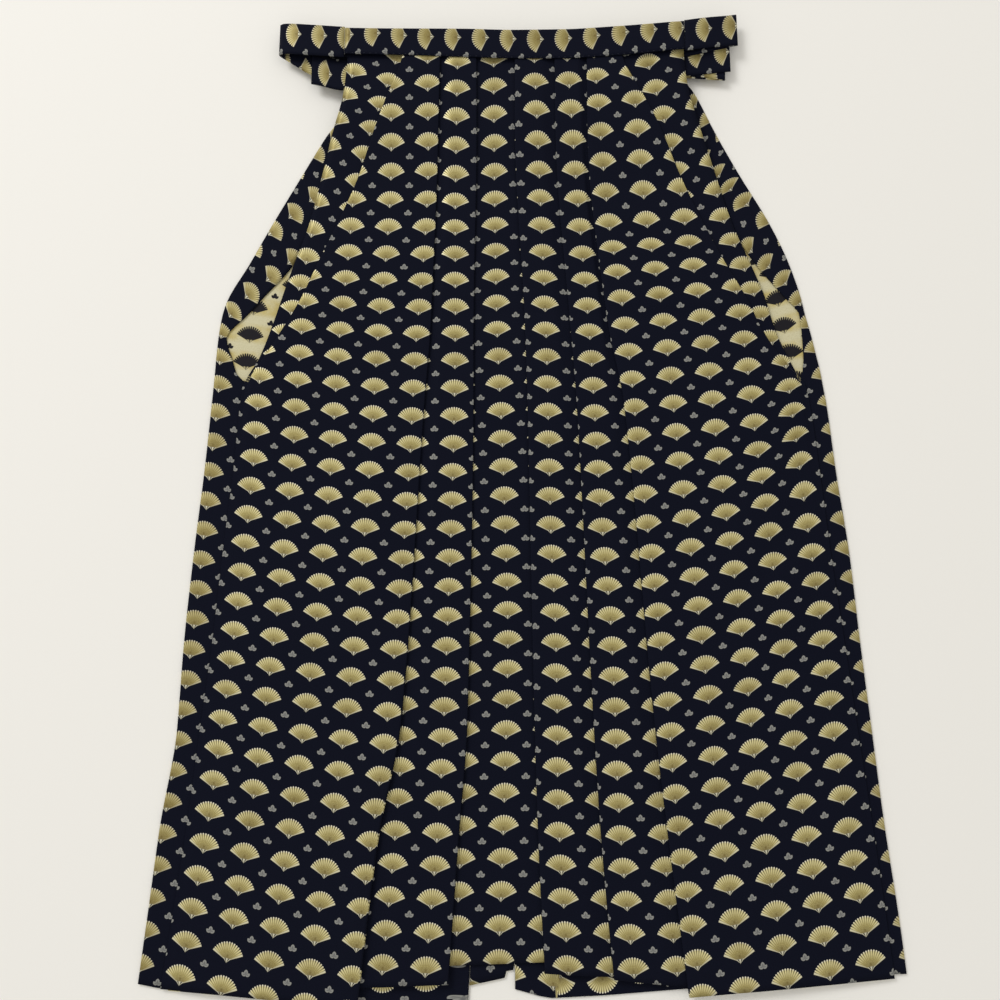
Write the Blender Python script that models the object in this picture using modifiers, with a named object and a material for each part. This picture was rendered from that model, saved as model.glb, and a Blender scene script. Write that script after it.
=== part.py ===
"""Hakama trousers, laid flat with the front up.

Origin: middle of the underside of the bounding box.
+X: across, towards the wearer's left side.  +Y: along the legs, towards the waist.  +Z: up.
Cloth levels count up from the ground: back 0, wrapped back, gussets and hems 1, front 2 to 4.
"""
import math
from collections import namedtuple

import bpy

MM = 0.001

# Driving sizes in millimetres; x and y below are measured from near the middle of the cloth
MIDDLE_X = 0.15
MIDDLE_Y = 0.95
CLOTH = 1.1
GAP = 0.3
PITCH = CLOTH + GAP
BAND_HEIGHT = 34.6
BACK_TOP = 455.5
BACK_BAND_TOP = 458.0
HEM_TURN = 31.0
CROTCH_Y = 160.0
FRONT_LIFT = 11.2
BACK_LIFT = 1.4
TIE_BUNDLE_REACH = 66.0
LIFT_RUN = 118.0
BACK_LIFT_FROM = 372.0
BACK_LIFT_RUN = 50.0

# How the front's own cloth lies: the strip folded back beside each opening, the rise from the side
# seam over the pleats' under folds, and the clear width kept between one fold and the next
STRIP_RETURN = 22.0
STRIP_RETURN_RUN = 60.0
STRIP_NARROWS = 0.45
STRIP_NARROWS_FROM = 320.0
STRIP_NARROWS_RUN = 110.0
LEAST_RETURN = 0.4
SEAM_LAP = 6.0
SEAM_FLAT = 3.0
RAMP_RUN = 7.0
RAMP_EASE_RUN = 90.0
SAG_EASE_RUN = 150.0
FOLD_CLEAR = 1.6
UNDER_LAP = 1.0
BAND_TUCK = 4.2

# Hidden pieces inside the legs
HEM_STRIP_TOP = -439.0
LEFT_GUSSET_CROTCH_WIDTH = 14.0
LEFT_GUSSET_HEM_WIDTH = 44.0
GUSSET_ROWS = (CROTCH_Y, -120.0, -340.0, -436.5)
GUSSET_SEAM = 0.5

# Levels of the layers at the waist, height of the middle of each wall
BACK_TIE_LOW = 4.75
TIE_A_LOW = 7.55
TIE_A_HIGH = 8.95
TIE_B_LOW = 10.35
TIE_B_HIGH = 11.75
BAND_UNDER = 13.15
BAND_OVER = 18.75

FOLD_RADIUS = PITCH / 2.0
FOLD_EDGE = FOLD_RADIUS + CLOTH / 2.0
FOLD_STEPS = 3

# Pleat edges: x of the pressed edge at each of PLEAT_Y, and the depth folded under at waist and hem
PLEAT_Y = (465.0, 354.0, 142.0, 68.0, -235.0, -340.0, -478.0)
Pleat = namedtuple("Pleat", "name xs depth_waist depth_hem")
PLEATS = (
    Pleat("right_outer", (-78.7, -80.3, -86.0, -90.8, -107.5, -126.1, -141.2), 20.0, 50.0),
    Pleat("right_inner", (-42.1, -41.3, -43.6, -43.3, -47.2, -54.6, -64.0), 21.0, 48.0),
    Pleat("centre", (-3.0, -3.2, 6.2, 8.1, 13.0, 15.8, 22.0), 22.0, 40.0),
    Pleat("left_inner", (37.6, 38.0, 50.8, 55.6, 66.7, 71.9, 82.5), 21.0, 42.0),
    Pleat("left_outer", (71.0, 70.4, 88.1, 101.0, 121.7, 131.5, 146.0), 20.0, 50.0),
)

# Side openings, from the waist to their lower corner: outline of the wrapped back, inner edge of
# the wrap, outer edge of the front strip and its slanting fold, on each side
Opening = namedtuple("Opening", "y outline_r wrap_r strip_r leaf_r leaf_l strip_l wrap_l outline_l")
OPENINGS = (
    Opening(465.0, -170.0, -166.0, -175.8, -114.0, 101.5, 171.0, 161.0, 165.0),
    Opening(428.0, -171.0, -167.0, -176.0, -120.2, 109.0, 171.4, 162.0, 166.0),
    Opening(394.0, -173.0, -168.0, -178.6, -132.1, 125.4, 174.8, 166.0, 185.0),
    Opening(350.0, -198.5, -181.0, -189.3, -147.6, 146.4, 186.4, 185.0, 204.2),
    Opening(306.0, -222.0, -192.0, -199.2, -161.4, 163.0, 199.8, 199.0, 225.4),
    Opening(250.0, -251.3, -208.0, -211.4, -183.4, 186.4, 215.2, 214.0, 254.2),
    Opening(212.0, -270.2, -225.0, -223.6, -199.6, 203.8, 229.6, 234.5, 269.4),
    Opening(172.0, -291.0, -257.6, -235.6, -216.0, 224.5, 244.0, 265.2, 280.4),
    Opening(157.0, -294.9, -269.9, -239.9, -223.8, 231.1, 247.5, 277.0, 283.0),
    Opening(134.0, -297.5, -288.9, -247.1, -237.2, 241.2, 253.8, 278.7, 288.0),
    Opening(112.0, -298.6, -282.2, -255.2, -250.6, 255.2, 262.8, 278.8, 291.9),
    Opening(96.0, -299.1, -277.0, -264.2, -262.0, 268.8, 270.0, 277.0, 294.8),
)

# Legs below the openings: outline of the wrapped back and the side seam on each side
Leg = namedtuple("Leg", "y outline_r seam_r seam_l outline_l")
LEGS = (
    Leg(84.0, -299.6, -270.2, 278.4, 296.2),
    Leg(60.0, -300.7, -272.2, 282.2, 299.0),
    Leg(0.0, -303.8, -275.0, 287.2, 303.3),
    Leg(-80.0, -309.3, -281.0, 292.8, 310.9),
    Leg(-165.0, -313.7, -286.4, 300.4, 315.6),
    Leg(-245.0, -315.4, -293.4, 307.4, 320.7),
    Leg(-330.0, -325.6, -300.5, 315.0, 326.4),
    Leg(-410.0, -332.1, -309.0, 321.6, 333.6),
    Leg(-478.0, -337.8, -317.0, 326.4, 338.1),
)

# Hem lines, y along x
FRONT_RIGHT_HEM = ((-319.0, -465.5), (-214.0, -473.5), (-141.2, -477.5))
FRONT_RIGHT_INNER_HEM = ((-190.0, -468.0), (-141.2, -463.5), (-64.0, -460.0))
FRONT_CENTRE_HEM = ((-112.0, -446.5), (-64.0, -445.5), (22.0, -442.0), (62.0, -443.0))
FRONT_LEFT_CENTRE_HEM = ((22.0, -450.6), (82.5, -454.0), (124.0, -456.0))
FRONT_LEFT_INNER_HEM = ((82.5, -455.6), (146.0, -461.6), (196.0, -462.0))
FRONT_LEFT_HEM = ((146.0, -469.6), (325.0, -455.0))
BACK_RIGHT_HEM = ((-337.8, -463.2), (-320.0, -466.5), (-210.0, -475.6), (-142.0, -478.4), (-46.0, -478.4))
BACK_LEFT_HEM = (
    (-5.0, -465.2), (17.0, -470.8), (27.0, -472.3), (74.0, -469.8), (148.0, -464.0), (325.0, -453.0),
    (338.1, -452.6),
)
# Lower corners of the right gusset, from its hidden outer side to the leg's inner edge
RIGHT_GUSSET_HEM = ((-5.5, -436.5), (-5.5, -449.2), (-13.7, -450.4), (-13.7, -455.8), (-45.5, -462.3))
# Inner edge of each back leg, x along y
BACK_RIGHT_INNER = ((-478.4, -46.0), (-300.0, -38.0), (0.0, -16.0), (CROTCH_Y, -2.6), (465.0, -2.2))
BACK_LEFT_INNER = ((-478.4, -5.0), (CROTCH_Y, -2.2), (465.0, -1.8))

# Upper edge of the front waistband, y along x
BAND_TOP = (
    (-248.0, 473.0), (-178.6, 466.9), (-130.0, 465.6), (-90.0, 465.0), (-58.0, 464.5), (0.0, 462.6),
    (48.0, 462.8), (95.0, 465.3), (130.0, 467.8), (158.0, 470.2), (172.3, 471.2), (228.0, 480.3),
)
BAND_RIGHT_END = -178.3
BAND_LEFT_END = 172.0

FRONT_ROWS = (
    428.0, 394.0, 372.0, 350.0, 328.0, 306.0, 280.0, 250.0, 212.0, 172.0, 134.0, 112.0, 96.0,
    84.0, 60.0, 0.0, -80.0, -165.0, -245.0, -330.0, -410.0
)
BACK_ROWS = (
    424.0, 402.0, 372.0, 350.0, 306.0, 250.0, 212.0, 172.0, 157.0, 134.0, 112.0, 96.0,
    84.0, 60.0, 0.0, -80.0, -165.0, -245.0, -330.0, -410.0
)
LAST_FOLDED_ROW = 96.0
OPEN_ROW = 84.0

NAVY = (0.0048, 0.0060, 0.0152, 1.0)


def along(table, at):
    """Value on a polyline table of (position, value) pairs, straight past its ends."""
    pairs = sorted(table)
    for (a, va), (b, vb) in zip(pairs, pairs[1:]):
        if at <= b:
            return va + (vb - va) * (at - a) / (b - a)
    (a, va), (b, vb) = pairs[-2:]
    return va + (vb - va) * (at - a) / (b - a)


def smooth(t):
    t = min(max(t, 0.0), 1.0)
    return t * t * (3.0 - 2.0 * t)


def column(rows, name):
    return [(row.y, getattr(row, name)) for row in rows if hasattr(row, name)]


def edge_at(name, y):
    """Outline at height y, from the opening rows and the leg rows together."""
    return along(column(OPENINGS, name) + column(LEGS, name), y)


def pleat_at(pleat, y):
    return along(list(zip(PLEAT_Y, pleat.xs)), y)


def depth_at(pleat, y):
    share = (PLEAT_Y[0] - y) / (PLEAT_Y[0] - PLEAT_Y[-1])
    return pleat.depth_waist + (pleat.depth_hem - pleat.depth_waist) * share


def level(number, lift=0.0):
    """Height of the middle of the wall at a cloth level."""
    return lift + number * PITCH + CLOTH / 2.0


def front_lift(x, y):
    """The front climbs over the folded ties on its way to the waist."""
    below = along(BAND_TOP, x) - y
    return FRONT_LIFT * (1.0 - smooth((below - TIE_BUNDLE_REACH) / LIFT_RUN))


def back_lift(y):
    return BACK_LIFT * smooth((y - BACK_LIFT_FROM) / BACK_LIFT_RUN)


class Path:
    """A line through the middle of a wall, in the plane across the cloth."""

    def __init__(self, x, z, heading):
        self.points = [(x, z)]
        self.heading = heading

    def to(self, x, z=None):
        self.points.append((x, self.points[-1][1] if z is None else z))

    def turn(self, rise):
        """Half turn of the cloth, up or down by rise."""
        x, z = self.points[-1]
        radius = abs(rise) / 2.0
        for step in range(1, FOLD_STEPS + 1):
            angle = math.pi * step / FOLD_STEPS
            out = self.heading * radius * math.sin(angle)
            self.points.append((x + out, z + rise * (1.0 - math.cos(angle)) / 2.0))
        self.heading = -self.heading

    def fold_up(self, back):
        """Fold under and out again: half turn, return by back, half turn the other way."""
        self.turn(PITCH)
        self.to(self.points[-1][0] + self.heading * back)
        self.turn(PITCH)

    def step_up(self, rise):
        """Upright step of the cloth, with a quarter bend at its foot and head."""
        x, z = self.points[-1]
        radius = FOLD_RADIUS
        bends = [math.pi / 2.0 * step / FOLD_STEPS for step in range(1, FOLD_STEPS + 1)]
        for bend in bends:
            out = self.heading * radius * math.sin(bend)
            self.points.append((x + out, z + radius * (1.0 - math.cos(bend))))
        x += self.heading * radius
        z += rise - radius
        self.points.append((x, z))
        for bend in bends:
            out = self.heading * radius * (1.0 - math.cos(bend))
            self.points.append((x + out, z + radius * math.sin(bend)))

    def ramp(self, rise, run):
        """Gentle rise with as many points as the folds it carries on from."""
        x, z = self.points[-1]
        count = 2 * FOLD_STEPS + 1
        for step in range(1, count + 1):
            share = step / count
            self.points.append((x + self.heading * run * share, z + rise * smooth(share)))


def cloth(name, points, faces):
    """Open surface through (x, y, z) points, thickened evenly to the cloth's wall."""
    mesh = bpy.data.meshes.new(name)
    verts = [((x - MIDDLE_X) * MM, (y - MIDDLE_Y) * MM, z * MM) for x, y, z in points]
    mesh.from_pydata(verts, [], faces)
    mesh.materials.append(cloth_material(name))
    solid = bpy.data.objects.new(name, mesh)
    garment.objects.link(solid)
    thicken = solid.modifiers.new("thickness", "SOLIDIFY")
    thicken.thickness = CLOTH * MM
    thicken.offset = 0.0
    thicken.use_even_offset = True
    thicken.use_quality_normals = True


def loft(name, rows):
    """Cloth through rows of points, each row with as many points as the next."""
    count = len(rows[0])
    faces = []
    for start in range(0, count * (len(rows) - 1), count):
        for i in range(start, start + count - 1):
            faces.append((i, i + 1, i + 1 + count, i + count))
    cloth(name, [point for row in rows for point in row], faces)


def flat_piece(name, outline, number):
    """Flat cloth inside an outline of (x, y) corners, at one level."""
    z = level(number)
    cloth(name, [(x, y, z) for x, y in outline], [tuple(range(len(outline)))])


def cloth_material(name):
    material = bpy.data.materials.new(name + "_cloth")
    material.use_nodes = True
    shader = material.node_tree.nodes["Principled BSDF"]
    shader.inputs["Base Color"].default_value = NAVY
    shader.inputs["Roughness"].default_value = 0.8
    return material


def panel(name, rows):
    """Panel from rows of (y of each point, Path)."""
    points = []
    for ys, path in rows:
        points.append([(x, y, z) for (x, z), y in zip(path.points, ys)])
    loft(name, points)


def front_path(side, pleats, end_pleat, y):
    """Section of one front at height y, from its outer edge to the centre.

    side is -1 for the wearer's right, 1 for the left; pleats run inwards from the side.
    The left front ends on the under fold of the centre pleat, the right one below it.
    """
    which = "r" if side < 0 else "l"
    inward = -side
    first = pleats[0]
    under = pleat_at(first, y) - inward * depth_at(first, y)
    lift = front_lift(pleat_at(first, y), y)
    low, mid, high = level(2, lift), level(3, lift), level(4, lift)
    if y >= LAST_FOLDED_ROW:
        leaf = edge_at("leaf_" + which, y)
        path = Path(edge_at("strip_" + which, y), low, inward)
        grown = smooth((y - LAST_FOLDED_ROW) / STRIP_RETURN_RUN)
        narrowed = 1.0 - STRIP_NARROWS * smooth((y - STRIP_NARROWS_FROM) / STRIP_NARROWS_RUN)
        back = LEAST_RETURN + STRIP_RETURN * grown * narrowed
        path.to(leaf + inward * (FOLD_EDGE + back))
        path.fold_up(back)
        flat = smooth((y - LAST_FOLDED_ROW) / SAG_EASE_RUN)
    else:
        seam = edge_at("seam_" + which, y)
        path = Path(seam, low, inward)
        path.to(seam + inward * SEAM_FLAT)
        if y >= OPEN_ROW:
            path.step_up(2.0 * PITCH)
        else:
            ease = smooth((OPEN_ROW - y) / RAMP_EASE_RUN)
            path.ramp(2.0 * PITCH * (1.0 - ease) + 0.4 * ease, RAMP_RUN)
        flat = 0.0
    start, top = path.points[-1]
    end = under - inward * FOLD_CLEAR
    for share in (0.3, 0.68):
        base = top + (high - top) * share
        path.to(start + (end - start) * share, min(base, high - 1.2 * (1.0 - flat) * (1.4 - share)))
    path.to(end, high)
    for number, pleat in enumerate(pleats):
        edge = pleat_at(pleat, y)
        depth = depth_at(pleat, y)
        path.to(edge - inward * FOLD_EDGE, high)
        path.turn(-PITCH)
        if pleat is end_pleat:
            path.to(edge - inward * depth, mid)
            return path
        path.to(edge - inward * (depth - FOLD_EDGE), mid)
        path.turn(-PITCH)
        if number + 1 < len(pleats):
            after = pleats[number + 1]
            path.to(edge + inward * UNDER_LAP, low)
            path.to(pleat_at(after, y) - inward * (depth_at(after, y) + FOLD_CLEAR), high)
    centre = PLEATS[2]
    path.to(pleat_at(centre, y) + depth_at(centre, y), low)
    return path


def hem_heights(path, tables):
    """Hem y for each point of a section: tables are keyed by the first point they cover."""
    heights = []
    for i, (x, _) in enumerate(path.points):
        table = [t for first, t in tables if i >= first][-1]
        heights.append(along(table, x))
    return heights


def build_front(name, side, pleats, end_pleat, tables):
    rows = []
    top = front_path(side, pleats, end_pleat, PLEAT_Y[0])
    rows.append(([along(BAND_TOP, x) - BAND_TUCK for x, _ in top.points], top))
    for y in FRONT_ROWS:
        path = front_path(side, pleats, end_pleat, y)
        rows.append(([y] * len(path.points), path))
    hem = front_path(side, pleats, end_pleat, PLEAT_Y[-1])
    rows.append((hem_heights(hem, tables), hem))
    panel(name, rows)


def back_path(side, inner_edge, y, lift):
    which = "r" if side < 0 else "l"
    outline = edge_at("outline_" + which, y)
    if y >= LAST_FOLDED_ROW:
        wrap = edge_at("wrap_" + which, y)
    else:
        wrap = edge_at("seam_" + which, y) - side * SEAM_LAP
    inner = along(inner_edge, y)
    path = Path(wrap, level(1, lift), side)
    path.to(outline - side * FOLD_EDGE)
    path.turn(-PITCH)
    path.to((outline + inner) / 2.0)
    path.to(inner)
    return path


def build_back(name, side, inner_edge, hem_table):
    rows = []
    top = back_path(side, inner_edge, BACK_TOP, back_lift(BACK_TOP))
    rows.append(([BACK_TOP] * len(top.points), top))
    for y in BACK_ROWS:
        path = back_path(side, inner_edge, y, back_lift(y))
        rows.append(([y] * len(path.points), path))
    hem = back_path(side, inner_edge, PLEAT_Y[-1], 0.0)
    rows.append(([along(hem_table, x) for x, _ in hem.points], hem))
    panel(name, rows)


def build_turned_hem(name, hem_table, side, centre_x):
    """Strip turned up inside the back, from the wrap at the side to the inner edge of the leg."""
    seam = "seam_r" if side < 0 else "seam_l"
    inset = side * (SEAM_LAP + 2.0 * GAP)
    corner_x = edge_at(seam, -465.0) - inset
    low_x, high_x = sorted((corner_x, centre_x))
    between = [x for x, _ in hem_table if low_x + 8.0 < x < high_x - 8.0]
    xs = sorted([corner_x, centre_x] + between)
    hem = [(x, along(hem_table, x)) for x in xs]
    upper = [(x, min(y + HEM_TURN, HEM_STRIP_TOP)) for x, y in hem]
    corner = 0 if side < 0 else -1
    upper_y = upper[corner][1]
    upper[corner] = (edge_at(seam, upper_y) - inset, upper_y)
    flat_piece(name, hem + upper[::-1], 1)


def build_gussets():
    centre = PLEATS[2]
    outer = [(pleat_at(centre, y) + depth_at(centre, y), y) for y in GUSSET_ROWS]
    inner = [(along(BACK_RIGHT_INNER, y) + GUSSET_SEAM, y) for y in (-300.0, 0.0, CROTCH_Y)]
    flat_piece("right_gusset", outer + list(RIGHT_GUSSET_HEM) + inner, 1)
    seam = [(x + GUSSET_SEAM, y) for x, y in outer]
    hem_corner = (outer[-1][0] + LEFT_GUSSET_HEM_WIDTH, outer[-1][1])
    crotch_corner = (outer[0][0] + LEFT_GUSSET_CROTCH_WIDTH, outer[0][1])
    flat_piece("left_gusset", seam + [hem_corner, crotch_corner], 1)


def build_band(name, xs, tops, height, under, over):
    """Band doubled over an upper edge, from one end to the other."""
    rows = []
    radius = (over - under) / 2.0
    middle = (over + under) / 2.0
    for x, top in zip(xs, tops):
        bottom = top - height
        bend = top - radius - CLOTH / 2.0
        line = [(bottom, under), (bend, under)]
        for step in range(1, 6):
            angle = math.pi * step / 6.0
            line.append((bend + radius * math.sin(angle), middle - radius * math.cos(angle)))
        line.append((bend, over))
        line.append((bottom, over))
        rows.append([(x, y, z) for y, z in line])
    loft(name, rows)


def build_ribbon(name, stations, height):
    """Flat tie through (x, y, z) stations of its middle line; a half turn is marked by 'turn'."""
    path = Path(stations[0][0], stations[0][2], 0)
    ys = [stations[0][1]]
    for station in stations[1:]:
        if station[0] == "turn":
            path.heading = station[1]
            path.turn(station[2])
            ys += [ys[-1]] * FOLD_STEPS
        else:
            path.to(station[0], station[2])
            ys.append(station[1])
    rows = []
    for side in (0.5, -0.5):
        rows.append([(x, y + side * height, z) for (x, z), y in zip(path.points, ys)])
    loft(name, rows)


def build_ties():
    build_ribbon(
        "front_tie_right",
        (
            (-178.6, 448.9, BAND_OVER),
            (-200.0, 450.8, 18.5),
            (-222.0, 453.2, 17.6),
            (-236.0, 455.0, 16.3),
            (-243.5, 456.0, 14.6),
            (-246.8, 456.2, 12.4),
            (-245.6, 455.4, 10.4),
            (-240.5, 452.6, 9.2),
            (-233.0, 447.6, TIE_A_HIGH),
            (-213.0, 435.2, TIE_A_HIGH),
            (-178.0, 424.5, TIE_A_HIGH),
            (-100.0, 423.0, TIE_A_HIGH),
            (100.0, 431.0, TIE_A_HIGH),
            (176.0, 430.2, TIE_A_HIGH),
            (214.1 - FOLD_EDGE, 426.0, TIE_A_HIGH),
            ("turn", 1, -PITCH),
            (150.0, 431.0, TIE_A_LOW),
            (-150.0, 440.0, TIE_A_LOW),
        ),
        BAND_HEIGHT,
    )
    build_ribbon(
        "front_tie_left",
        (
            (172.3, 453.0, BAND_OVER),
            (186.0, 455.4, 18.1),
            (203.0, 458.6, 16.1),
            (218.0, 461.4, 13.9),
            (227.8 - FOLD_EDGE, 463.0, BAND_UNDER),
            ("turn", 1, -PITCH),
            (150.0, 447.0, TIE_B_HIGH),
            (-100.0, 424.0, TIE_B_HIGH),
            (-178.0, 415.6, TIE_B_HIGH),
            (-213.1 + FOLD_EDGE, 423.9, TIE_B_HIGH),
            ("turn", -1, -PITCH),
            (-178.0, 417.6, TIE_B_LOW),
            (0.0, 421.0, TIE_B_LOW),
            (150.0, 428.0, TIE_B_LOW),
            (219.4, 434.4, TIE_B_LOW),
        ),
        BAND_HEIGHT,
    )
    for name, side, sewn, turn, free in (
        ("back_tie_right", -1, -108.0, -171.0, -12.0),
        ("back_tie_left", 1, 104.0, 166.0, 8.0),
    ):
        build_ribbon(
            name,
            (
                (sewn, 441.0, BACK_TIE_LOW),
                (turn - side * FOLD_EDGE, 441.0, BACK_TIE_LOW),
                ("turn", side, PITCH),
                (free, 441.0, BACK_TIE_LOW + PITCH),
            ),
            BAND_HEIGHT - 2.0,
        )


for old in list(bpy.data.objects):
    bpy.data.objects.remove(old, do_unlink=True)
garment = bpy.data.collections.new("hakama_trousers")
bpy.context.scene.collection.children.link(garment)

# Point numbers on a front section where each hem table starts: outer panel, then under each pleat
build_front(
    "front_right", -1, PLEATS[0:2], None,
    ((0, FRONT_RIGHT_HEM), (17, FRONT_RIGHT_INNER_HEM), (26, FRONT_CENTRE_HEM)),
)
build_front(
    "front_left", 1, (PLEATS[4], PLEATS[3], PLEATS[2]), PLEATS[2],
    ((0, FRONT_LEFT_HEM), (17, FRONT_LEFT_INNER_HEM), (26, FRONT_LEFT_CENTRE_HEM)),
)
build_back("back_right", -1, BACK_RIGHT_INNER, BACK_RIGHT_HEM)
build_back("back_left", 1, BACK_LEFT_INNER, BACK_LEFT_HEM)
build_turned_hem("back_right_hem", BACK_RIGHT_HEM, -1, -46.0)
build_turned_hem("back_left_hem", BACK_LEFT_HEM, 1, -5.0)
build_gussets()
band_xs = [BAND_RIGHT_END] + [x for x, _ in BAND_TOP if BAND_RIGHT_END + 5.0 < x < BAND_LEFT_END - 5.0]
band_xs.append(BAND_LEFT_END)
build_band(
    "front_waistband", band_xs, [along(BAND_TOP, x) for x in band_xs], BAND_HEIGHT, BAND_UNDER, BAND_OVER
)
build_band(
    "back_waistband", (-164.0, 0.0, 159.0), (BACK_BAND_TOP,) * 3, 34.0, level(0), level(2)
)
build_ties()
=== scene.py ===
"""Looks of the hakama trousers: thin shells of figured silk in the place of the CAD cloth.

Sizes are in millimetres in the same measuring frame as the part's source, until sheet_object()
shifts them to the frame's origin and metres.
"""
import math
from collections import namedtuple

import bpy
import numpy as np
from mathutils import Matrix, Vector


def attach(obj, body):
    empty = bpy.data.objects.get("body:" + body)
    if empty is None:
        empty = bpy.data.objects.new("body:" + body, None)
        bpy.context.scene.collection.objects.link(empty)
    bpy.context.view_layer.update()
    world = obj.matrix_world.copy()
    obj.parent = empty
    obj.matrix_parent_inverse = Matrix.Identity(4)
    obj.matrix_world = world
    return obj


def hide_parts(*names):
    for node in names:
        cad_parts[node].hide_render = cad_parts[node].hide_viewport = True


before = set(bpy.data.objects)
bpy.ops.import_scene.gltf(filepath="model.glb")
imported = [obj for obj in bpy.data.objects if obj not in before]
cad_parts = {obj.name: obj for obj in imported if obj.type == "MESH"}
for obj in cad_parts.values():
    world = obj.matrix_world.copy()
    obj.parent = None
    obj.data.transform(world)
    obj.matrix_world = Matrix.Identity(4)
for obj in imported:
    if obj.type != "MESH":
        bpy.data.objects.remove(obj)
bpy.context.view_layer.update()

MM = 0.001


def rows_of(kind, *rows):
    """Table of named rows."""
    return tuple(kind(*row) for row in rows)


# Middle of the garment in the measuring frame
MIDDLE_X = 0.15
MIDDLE_Y = 0.95

# Driving sizes of the garment
WALL = 1.1
GAP = 0.3
PITCH = WALL + GAP
SILK = 0.6
BAND_HEIGHT = 34.6
BACK_TOP = 455.5
BACK_BAND_TOP = 458.0
HEM_TURN = 31.0
CROTCH_Y = 160.0
FRONT_LIFT = 11.2
BACK_LIFT = 1.4
TIE_BUNDLE_REACH = 66.0
LIFT_RUN = 118.0
BACK_LIFT_FROM = 372.0
BACK_LIFT_RUN = 50.0

# Strip beside each opening: depth of the fold between it and the front, how fast that grows from the
# opening's lower corner, and how it narrows towards the waist
STRIP_RETURN = 22.0
STRIP_RETURN_RUN = 60.0
STRIP_NARROWS = 0.45
STRIP_NARROWS_FROM = 320.0
STRIP_NARROWS_RUN = 110.0
LEAST_RETURN = 0.4
# Side seam: how far the wrap laps under the front, and the front's climb beside it
SEAM_LAP = 6.0
SEAM_FLAT = 3.0
RAMP_RUN = 7.0
RAMP_EASE_RUN = 90.0
RAMP_EASED = 0.4
# Gap beside a fold below, cloth run past the pleat above, and top edge hidden in the band
FOLD_CLEAR = 1.6
UNDER_LAP = 1.0
BAND_TUCK = 4.2

HEM_STRIP_TOP = -439.0
LEFT_GUSSET_CROTCH_WIDTH = 14.0
LEFT_GUSSET_HEM_WIDTH = 44.0
LEFT_GUSSET_HEM = -436.5
RIGHT_GUSSET_SIDE = -45.5
GUSSET_SEAM = 0.5
GUSSET_ROWS = 80
RIGHT_GUSSET_COLUMNS = 70
LEFT_GUSSET_COLUMNS = 12

# Height of the middle of each layer at the waist
BACK_TIE_LOW = 4.75
TIE_A_LOW = 7.55
TIE_A_HIGH = 8.95
TIE_B_LOW = 10.35
TIE_B_HIGH = 11.75
BAND_UNDER = 13.15
BAND_OVER = 18.75

FOLD_RADIUS = PITCH / 2.0
FOLD_EDGE = FOLD_RADIUS + WALL / 2.0
FOLD_STEPS = 6

# Pleat edges: x of the pressed edge at each of PLEAT_Y, and the depth folded under at waist and hem
PLEAT_Y = (465.0, 354.0, 142.0, 68.0, -235.0, -340.0, -478.0)
Pleat = namedtuple("Pleat", "name xs depth_waist depth_hem")
RIGHT_OUTER = Pleat("right_outer", (-78.7, -80.3, -86.0, -90.8, -107.5, -126.1, -141.2), 20.0, 50.0)
RIGHT_INNER = Pleat("right_inner", (-42.1, -41.3, -43.6, -43.3, -47.2, -54.6, -64.0), 21.0, 48.0)
CENTRE = Pleat("centre", (-3.0, -3.2, 6.2, 8.1, 13.0, 15.8, 22.0), 22.0, 40.0)
LEFT_INNER = Pleat("left_inner", (37.6, 38.0, 50.8, 55.6, 66.7, 71.9, 82.5), 21.0, 42.0)
LEFT_OUTER = Pleat("left_outer", (71.0, 70.4, 88.1, 101.0, 121.7, 131.5, 146.0), 20.0, 50.0)

# Side openings: outline of the wrapped back, inner edge of the wrap, outer edge of the front strip
# and its slanting fold, on each side
Opening = namedtuple("Opening", "y outline_r wrap_r strip_r leaf_r leaf_l strip_l wrap_l outline_l")
OPENINGS = rows_of(
    Opening,
    (465.0, -170.0, -166.0, -175.8, -114.0, 101.5, 171.0, 161.0, 165.0),
    (428.0, -171.0, -167.0, -176.0, -120.2, 109.0, 171.4, 162.0, 166.0),
    (394.0, -173.0, -168.0, -178.6, -132.1, 125.4, 174.8, 166.0, 185.0),
    (350.0, -198.5, -181.0, -189.3, -147.6, 146.4, 186.4, 185.0, 204.2),
    (306.0, -222.0, -192.0, -199.2, -161.4, 163.0, 199.8, 199.0, 225.4),
    (250.0, -251.3, -208.0, -211.4, -183.4, 186.4, 215.2, 214.0, 254.2),
    (212.0, -270.2, -225.0, -223.6, -199.6, 203.8, 229.6, 234.5, 269.4),
    (172.0, -291.0, -257.6, -235.6, -216.0, 224.5, 244.0, 265.2, 280.4),
    (157.0, -294.9, -269.9, -239.9, -223.8, 231.1, 247.5, 277.0, 283.0),
    (134.0, -297.5, -288.9, -247.1, -237.2, 241.2, 253.8, 278.7, 288.0),
    (112.0, -298.6, -282.2, -255.2, -250.6, 255.2, 262.8, 278.8, 291.9),
    (96.0, -299.1, -277.0, -264.2, -262.0, 268.8, 270.0, 277.0, 294.8),
)

# Legs below the openings: outline of the wrapped back and the side seam on each side
Leg = namedtuple("Leg", "y outline_r seam_r seam_l outline_l")
LEGS = rows_of(
    Leg,
    (84.0, -299.6, -270.2, 278.4, 296.2),
    (60.0, -300.7, -272.2, 282.2, 299.0),
    (0.0, -303.8, -275.0, 287.2, 303.3),
    (-80.0, -309.3, -281.0, 292.8, 310.9),
    (-165.0, -313.7, -286.4, 300.4, 315.6),
    (-245.0, -315.4, -293.4, 307.4, 320.7),
    (-330.0, -325.6, -300.5, 315.0, 326.4),
    (-410.0, -332.1, -309.0, 321.6, 333.6),
    (-478.0, -337.8, -317.0, 326.4, 338.1),
)
LAST_FOLDED_ROW = 96.0
OPEN_ROW = 84.0

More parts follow.
